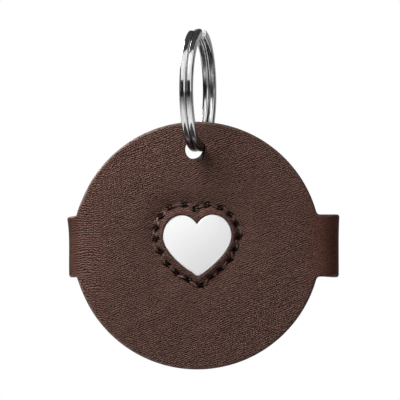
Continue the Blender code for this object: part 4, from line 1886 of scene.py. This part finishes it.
@dataclass(frozen=True)
class PressStud:
    """The press stud that holds the straps together: cap and socket, stud and post."""

    cap: Turned = Turned(
        "snap_cap_rimmed", "snap_cap", "outer_strap", 10.65,
        (
            (0.0, 1.35), (1.2, 1.34), (2.3, 1.30), (3.0, 1.23), (3.35, 1.29), (3.6, 1.40), (3.95, 1.45),
            (4.3, 1.39), (4.62, 1.21), (4.86, 0.93), (4.98, 0.59), (5.0, 0.20), (4.93, 0.03), (4.75, -0.04),
            (1.5, 0.02), (1.5, -0.80), (1.3, -0.88), (0.0, -0.88),
        ),
    )
    socket: Turned = Turned(
        "snap_socket_ring", "snap_socket", "outer_strap", 9.15,
        (
            (2.15, 0.42), (3.85, 0.42), (4.0, 0.30), (4.0, -0.28), (3.9, -0.48), (3.65, -0.58),
            (3.3, -0.52), (3.1, -0.32), (2.9, -0.28), (2.7, -0.46), (2.4, -0.58), (2.2, -0.50),
            (2.12, -0.28),
        ),
    )
    stud: Turned = Turned(
        "snap_stud_head", "snap_stud", "inner_strap", 7.95,
        (
            (1.0, 1.43), (1.08, 1.55), (1.42, 1.55), (1.62, 1.47), (1.75, 1.25), (1.76, 0.93), (1.6, 0.65),
            (1.45, 0.50), (1.45, 0.22), (1.6, 0.12), (3.4, 0.08), (3.55, 0.0), (3.6, -0.15), (3.55, -0.35),
            (1.0, -0.35),
        ),
    )
    post: Turned = Turned(
        "snap_post_rivet", "snap_post", "inner_strap", 6.45,
        (
            (0.0, 2.95), (0.55, 2.93), (0.78, 2.80), (0.8, 2.55), (0.8, 0.55), (3.2, 0.52), (3.38, 0.40),
            (3.4, 0.25), (3.25, 0.10), (2.2, 0.06), (1.1, 0.15), (0.9, 0.24), (0.0, 0.26),
        ),
    )

    def build(self) -> None:
        """Makes its four pieces."""
        for piece in (self.cap, self.socket, self.stud, self.post):
            piece.build()


@dataclass(frozen=True)
class SplitRing:
    """The split ring: two close turns of flattened wire that cross over at the top."""

    inner: float = 10.65
    wire: float = 1.75
    turn_width: float = 1.3
    pitch: float = 1.34
    offset: float = 0.1
    edge: float = 0.42
    yaw: float = 11.8
    crossing: float = 24.0
    ends: Point = (13.5, 9.5)
    end_shares: Point = (0.86, 0.97)
    steps_per_turn: int = 220
    corner_steps: int = 4
    sharp: float = 50.0

    def section(self) -> np.ndarray:
        """The flattened wire's section, with round corners.

        Returns:
            Its points: outwards, and along the ring's axis.
        """
        out, side = self.wire / 2 - self.edge, self.turn_width / 2 - self.edge
        made: Loop = []
        for x, y, turn in ((out, side, 0), (-out, side, 90), (-out, -side, 180), (out, -side, 270)):
            made += arc((x, y), self.edge, turn, turn + 90, self.corner_steps)
        return np.array(made)

    def build(self) -> None:
        """Makes the ring."""
        first, last = (math.radians(end) for end in self.ends)
        count = self.steps_per_turn * 2
        turns = np.linspace(first, 2 * math.tau - last, count + 1)
        share = np.clip((turns - math.tau) / math.radians(self.crossing) + 0.5, 0, 1)
        side = self.pitch * (share * share * (3 - 2 * share) - 0.5) + self.offset
        yaw = math.radians(self.yaw)
        ahead = np.array([math.sin(yaw), math.cos(yaw), 0.0])
        axis = np.array([math.cos(yaw), -math.sin(yaw), 0.0])
        outs = np.cos(turns)[:, None] * np.array([0.0, 0.0, 1.0]) - np.sin(turns)[:, None] * ahead
        radius = self.inner + self.wire / 2
        middle = np.array([0.0, 0.0, -self.inner]) - np.array(CENTRE)
        line = middle + outs * radius + axis * side[:, None]
        ups = np.tile(axis, (len(line), 1))
        section = self.section()
        sections = np.tile(section, (len(line), 1, 1))
        for from_end, size in enumerate(self.end_shares):
            sections[[from_end, -1 - from_end]] *= size
        space, faces = swept(line, outs, ups, sections, closed=False)
        along = np.repeat(turns * radius, len(section))
        pattern = np.column_stack([along, np.tile(section, (len(line), 1))])
        ring = new_piece("split_ring_coils", space, faces, (Finish.CHROME,), pattern, sharp=self.sharp)
        kept_on(ring, "ring", "split_ring")


def staged(
    name: str, corners: Sequence[Triple], faces: Sequence[Sequence[int]], shader: Shader
) -> bpy.types.Object:
    """Makes a plain mesh of the studio, which isn't part of the holder.

    Args:
        name: Its name.
        corners: Its corners, in millimetres.
        faces: Each face's corner numbers.
        shader: Its material's shader.

    Returns:
        The object.
    """
    mesh = bpy.data.meshes.new(name)
    mesh.from_pydata([tuple(Vector(corner) * MM) for corner in corners], [], faces)
    mesh.materials.append(shader.owner)
    made = bpy.data.objects.new(name, mesh)
    bpy.context.scene.collection.objects.link(made)
    return made


def rectangle(width: float, height: float) -> list[Triple]:
    """A flat rectangle's corners about its middle."""
    return [(x * width / 2, y * height / 2, 0.0) for x, y in ((-1, -1), (1, -1), (1, 1), (-1, 1))]


@dataclass(frozen=True)
class Lamp:
    """A soft square lamp that points at the holder, and isn't seen by the camera."""

    name: str
    place: Triple
    size: float
    watts: float
    aim: Triple = (0.0, 0.0, -40.0)

    def build(self) -> None:
        """Places the lamp."""
        data = bpy.data.lights.new(self.name, "AREA")
        data.shape = "SQUARE"
        data.size = self.size * MM
        data.energy = self.watts
        made = bpy.data.objects.new(self.name, data)
        bpy.context.scene.collection.objects.link(made)
        made.location = Vector(self.place) * MM
        way = Vector(self.aim) * MM - made.location
        made.rotation_euler = way.to_track_quat("-Z", "Y").to_euler()
        made.visible_camera = False


@dataclass(frozen=True)
class Card:
    """A card that only polished metal and gloss show, dark to shade them or light to lift them."""

    name: str
    place: Triple
    size: Point
    shade: float = 0.02

    def build(self) -> None:
        """Stands the card up, facing the holder."""
        made = self.hidden(rectangle(*self.size), [(0, 1, 2, 3)])
        made.location = Vector(self.place) * MM
        made.rotation_euler = made.location.to_track_quat("Z", "Y").to_euler()

    def hidden(self, corners: Sequence[Triple], faces: Sequence[Sequence[int]]) -> bpy.types.Object:
        """Makes the card's mesh, and hides it from all but gloss.

        Args:
            corners: Its corners, in millimetres.
            faces: Each face's corner numbers.

        Returns:
            The object.
        """
        shader = Shader.material(self.name)
        shader.surface(
            {
                "Base Color": (0.0, 0.0, 0.0, 1.0),
                "Specular IOR Level": 0.0,
                "Emission Color": (self.shade, self.shade, self.shade, 1.0),
                "Emission Strength": 1.0,
            }
        )
        made = staged(self.name, corners, faces, shader)
        made.visible_camera = False
        made.visible_diffuse = False
        made.visible_shadow = False
        return made


@dataclass(frozen=True)
class BentCard(Card):
    """A card bent over the holder about its middle, from in front of it to behind it.

    Its place is (0, its reach, 0), its size is its width and none, and it rises from the first
    angle over the front's horizon to the last.
    """

    rises: Point = (78.0, 164.0)
    steps: int = 12

    def build(self) -> None:
        """Bends the card."""
        corners = []
        for y, z in arc((0, 0), self.place[1], 180 - self.rises[0], 180 - self.rises[1], self.steps):
            corners += [(-self.size[0] / 2, y, z), (self.size[0] / 2, y, z)]
        self.hidden(corners, [(2 * i, 2 * i + 1, 2 * i + 3, 2 * i + 2) for i in range(self.steps)])


@dataclass(frozen=True)
class Studio:
    """Pale floor, white surroundings, soft lamps and the camera at the photograph's angle."""

    view_width: float = 80.64
    distance: float = 1000.0
    aim: Triple = (0.485, -0.75, -32.81)
    sensor: float = 36.0
    clip: Point = (0.01, 20.0)
    sky: float = 0.1
    floor_z: float = -150.0
    floor_size: float = 6000.0
    floor_colour: float = 0.86
    shadow_fade: Point = (0.12, 0.3)
    lamps: tuple[Lamp, ...] = (
        Lamp("key", (-95.0, -105.0, 130.0), 130.0, 0.77),
        Lamp("fill", (420.0, -520.0, 40.0), 500.0, 0.15),
        Lamp("rear", (-430.0, 430.0, 300.0), 300.0, 3.0),
    )
    cards: tuple[Card, ...] = (
        Card("front_flag", (-168.0, -385.0, 5.0), (420.0, 225.0)),
        Card("low_flag", (-6.0, 12.0, -97.0), (90.0, 100.0), 0.06),
        Card("flank_flag", (139.0, 788.0, 80.0), (780.0, 640.0), 0.34),
        Card("key_card", (-86.0, -95.0, 116.0), (124.0, 124.0), 1.12),
        BentCard("roof_flag", (0.0, 600.0, 0.0), (1067.0, 0.0), 0.055),
        Card("side_flag_0", (-700.0, 100.0, 100.0), (1300.0, 700.0)),
        Card("side_flag_1", (700.0, 100.0, 100.0), (1300.0, 700.0)),
        Card("rear_flag_left", (-560.0, 760.0, 100.0), (760.0, 700.0)),
        Card("rear_flag_right", (780.0, 560.0, 100.0), (420.0, 700.0)),
    )

    def camera(self) -> None:
        """Places the camera in front of the holder, level with its middle."""
        data = bpy.data.cameras.new("camera")
        data.sensor_width = self.sensor
        data.lens = self.sensor * self.distance / self.view_width
        data.clip_start, data.clip_end = self.clip
        made = bpy.data.objects.new("camera", data)
        bpy.context.scene.collection.objects.link(made)
        made.location = (Vector(self.aim) - Vector((0.0, self.distance, 0.0))) * MM
        made.rotation_euler = (math.pi / 2, 0.0, 0.0)
        bpy.context.scene.camera = made

    def world(self) -> None:
        """Gives the world its soft light, and shows it white to the camera and in gloss."""
        made = bpy.data.worlds.new("studio")
        bpy.context.scene.world = made
        shader = Shader(made)
        shown = self.seen(shader).math("MAXIMUM", shader.node("LightPath")("Is Glossy Ray"))
        light = {"Color": (1.0, 1.0, 1.0, 1.0), "Strength": shown * (1 - self.sky) + self.sky}
        sky = shader.node("Background", {}, light)("Background")
        shader.node("OutputWorld", {}, {"Surface": sky})

    @staticmethod
    def seen(shader: Shader) -> Socket:
        """1 for what the camera sees, straight or through something, and otherwise 0."""
        rays = shader.node("LightPath")
        return rays("Is Camera Ray").math("MAXIMUM", rays("Is Transmission Ray"))

    def floor(self) -> None:
        """Lays the floor: pale, and white to the camera where the holder's shadow ends."""
        shader = Shader.material("studio_floor")
        place = shader.node("TexCoord")("Object")
        away = shader.node("VectorMath", {"operation": "LENGTH"}, {0: place})("Value")
        colour = (self.floor_colour, self.floor_colour, self.floor_colour, 1.0)
        plain = shader.node("BsdfDiffuse", {}, {"Color": colour})("BSDF")
        white = shader.node("Emission", {}, {"Color": (1.0, 1.0, 1.0, 1.0), "Strength": 1.0})
        fade = self.seen(shader) * away.between(*self.shadow_fade)
        mixed = shader.node("MixShader", {}, {0: fade, 1: plain, 2: white("Emission")})
        shader.node("OutputMaterial", {}, {"Surface": mixed("Shader")})
        made = staged("floor", rectangle(self.floor_size, self.floor_size), [(0, 1, 2, 3)], shader)
        made.location = (0.0, 0.0, self.floor_z * MM)

    def build(self) -> None:
        """Sets the studio up."""
        bpy.context.scene.view_settings.view_transform = "Standard"
        self.camera()
        self.world()
        for piece in (*self.lamps, *self.cards):
            piece.build()
        self.floor()


def main() -> None:
    """Builds the holder's looks on its frame, then the studio round it."""
    logging.basicConfig(level=logging.INFO, format="%(name)s: %(message)s")
    HolderLeather().build()
    HeartInlay().build()
    BackingPatch().build()
    SeamThread().build("seam_thread_front", "needle_thread", rear=False)
    SeamThread().build("seam_thread_rear", "bobbin_thread", rear=True)
    PressStud().build()
    SplitRing().build()
    Studio().build()


if __name__ == "__main__":
    main()
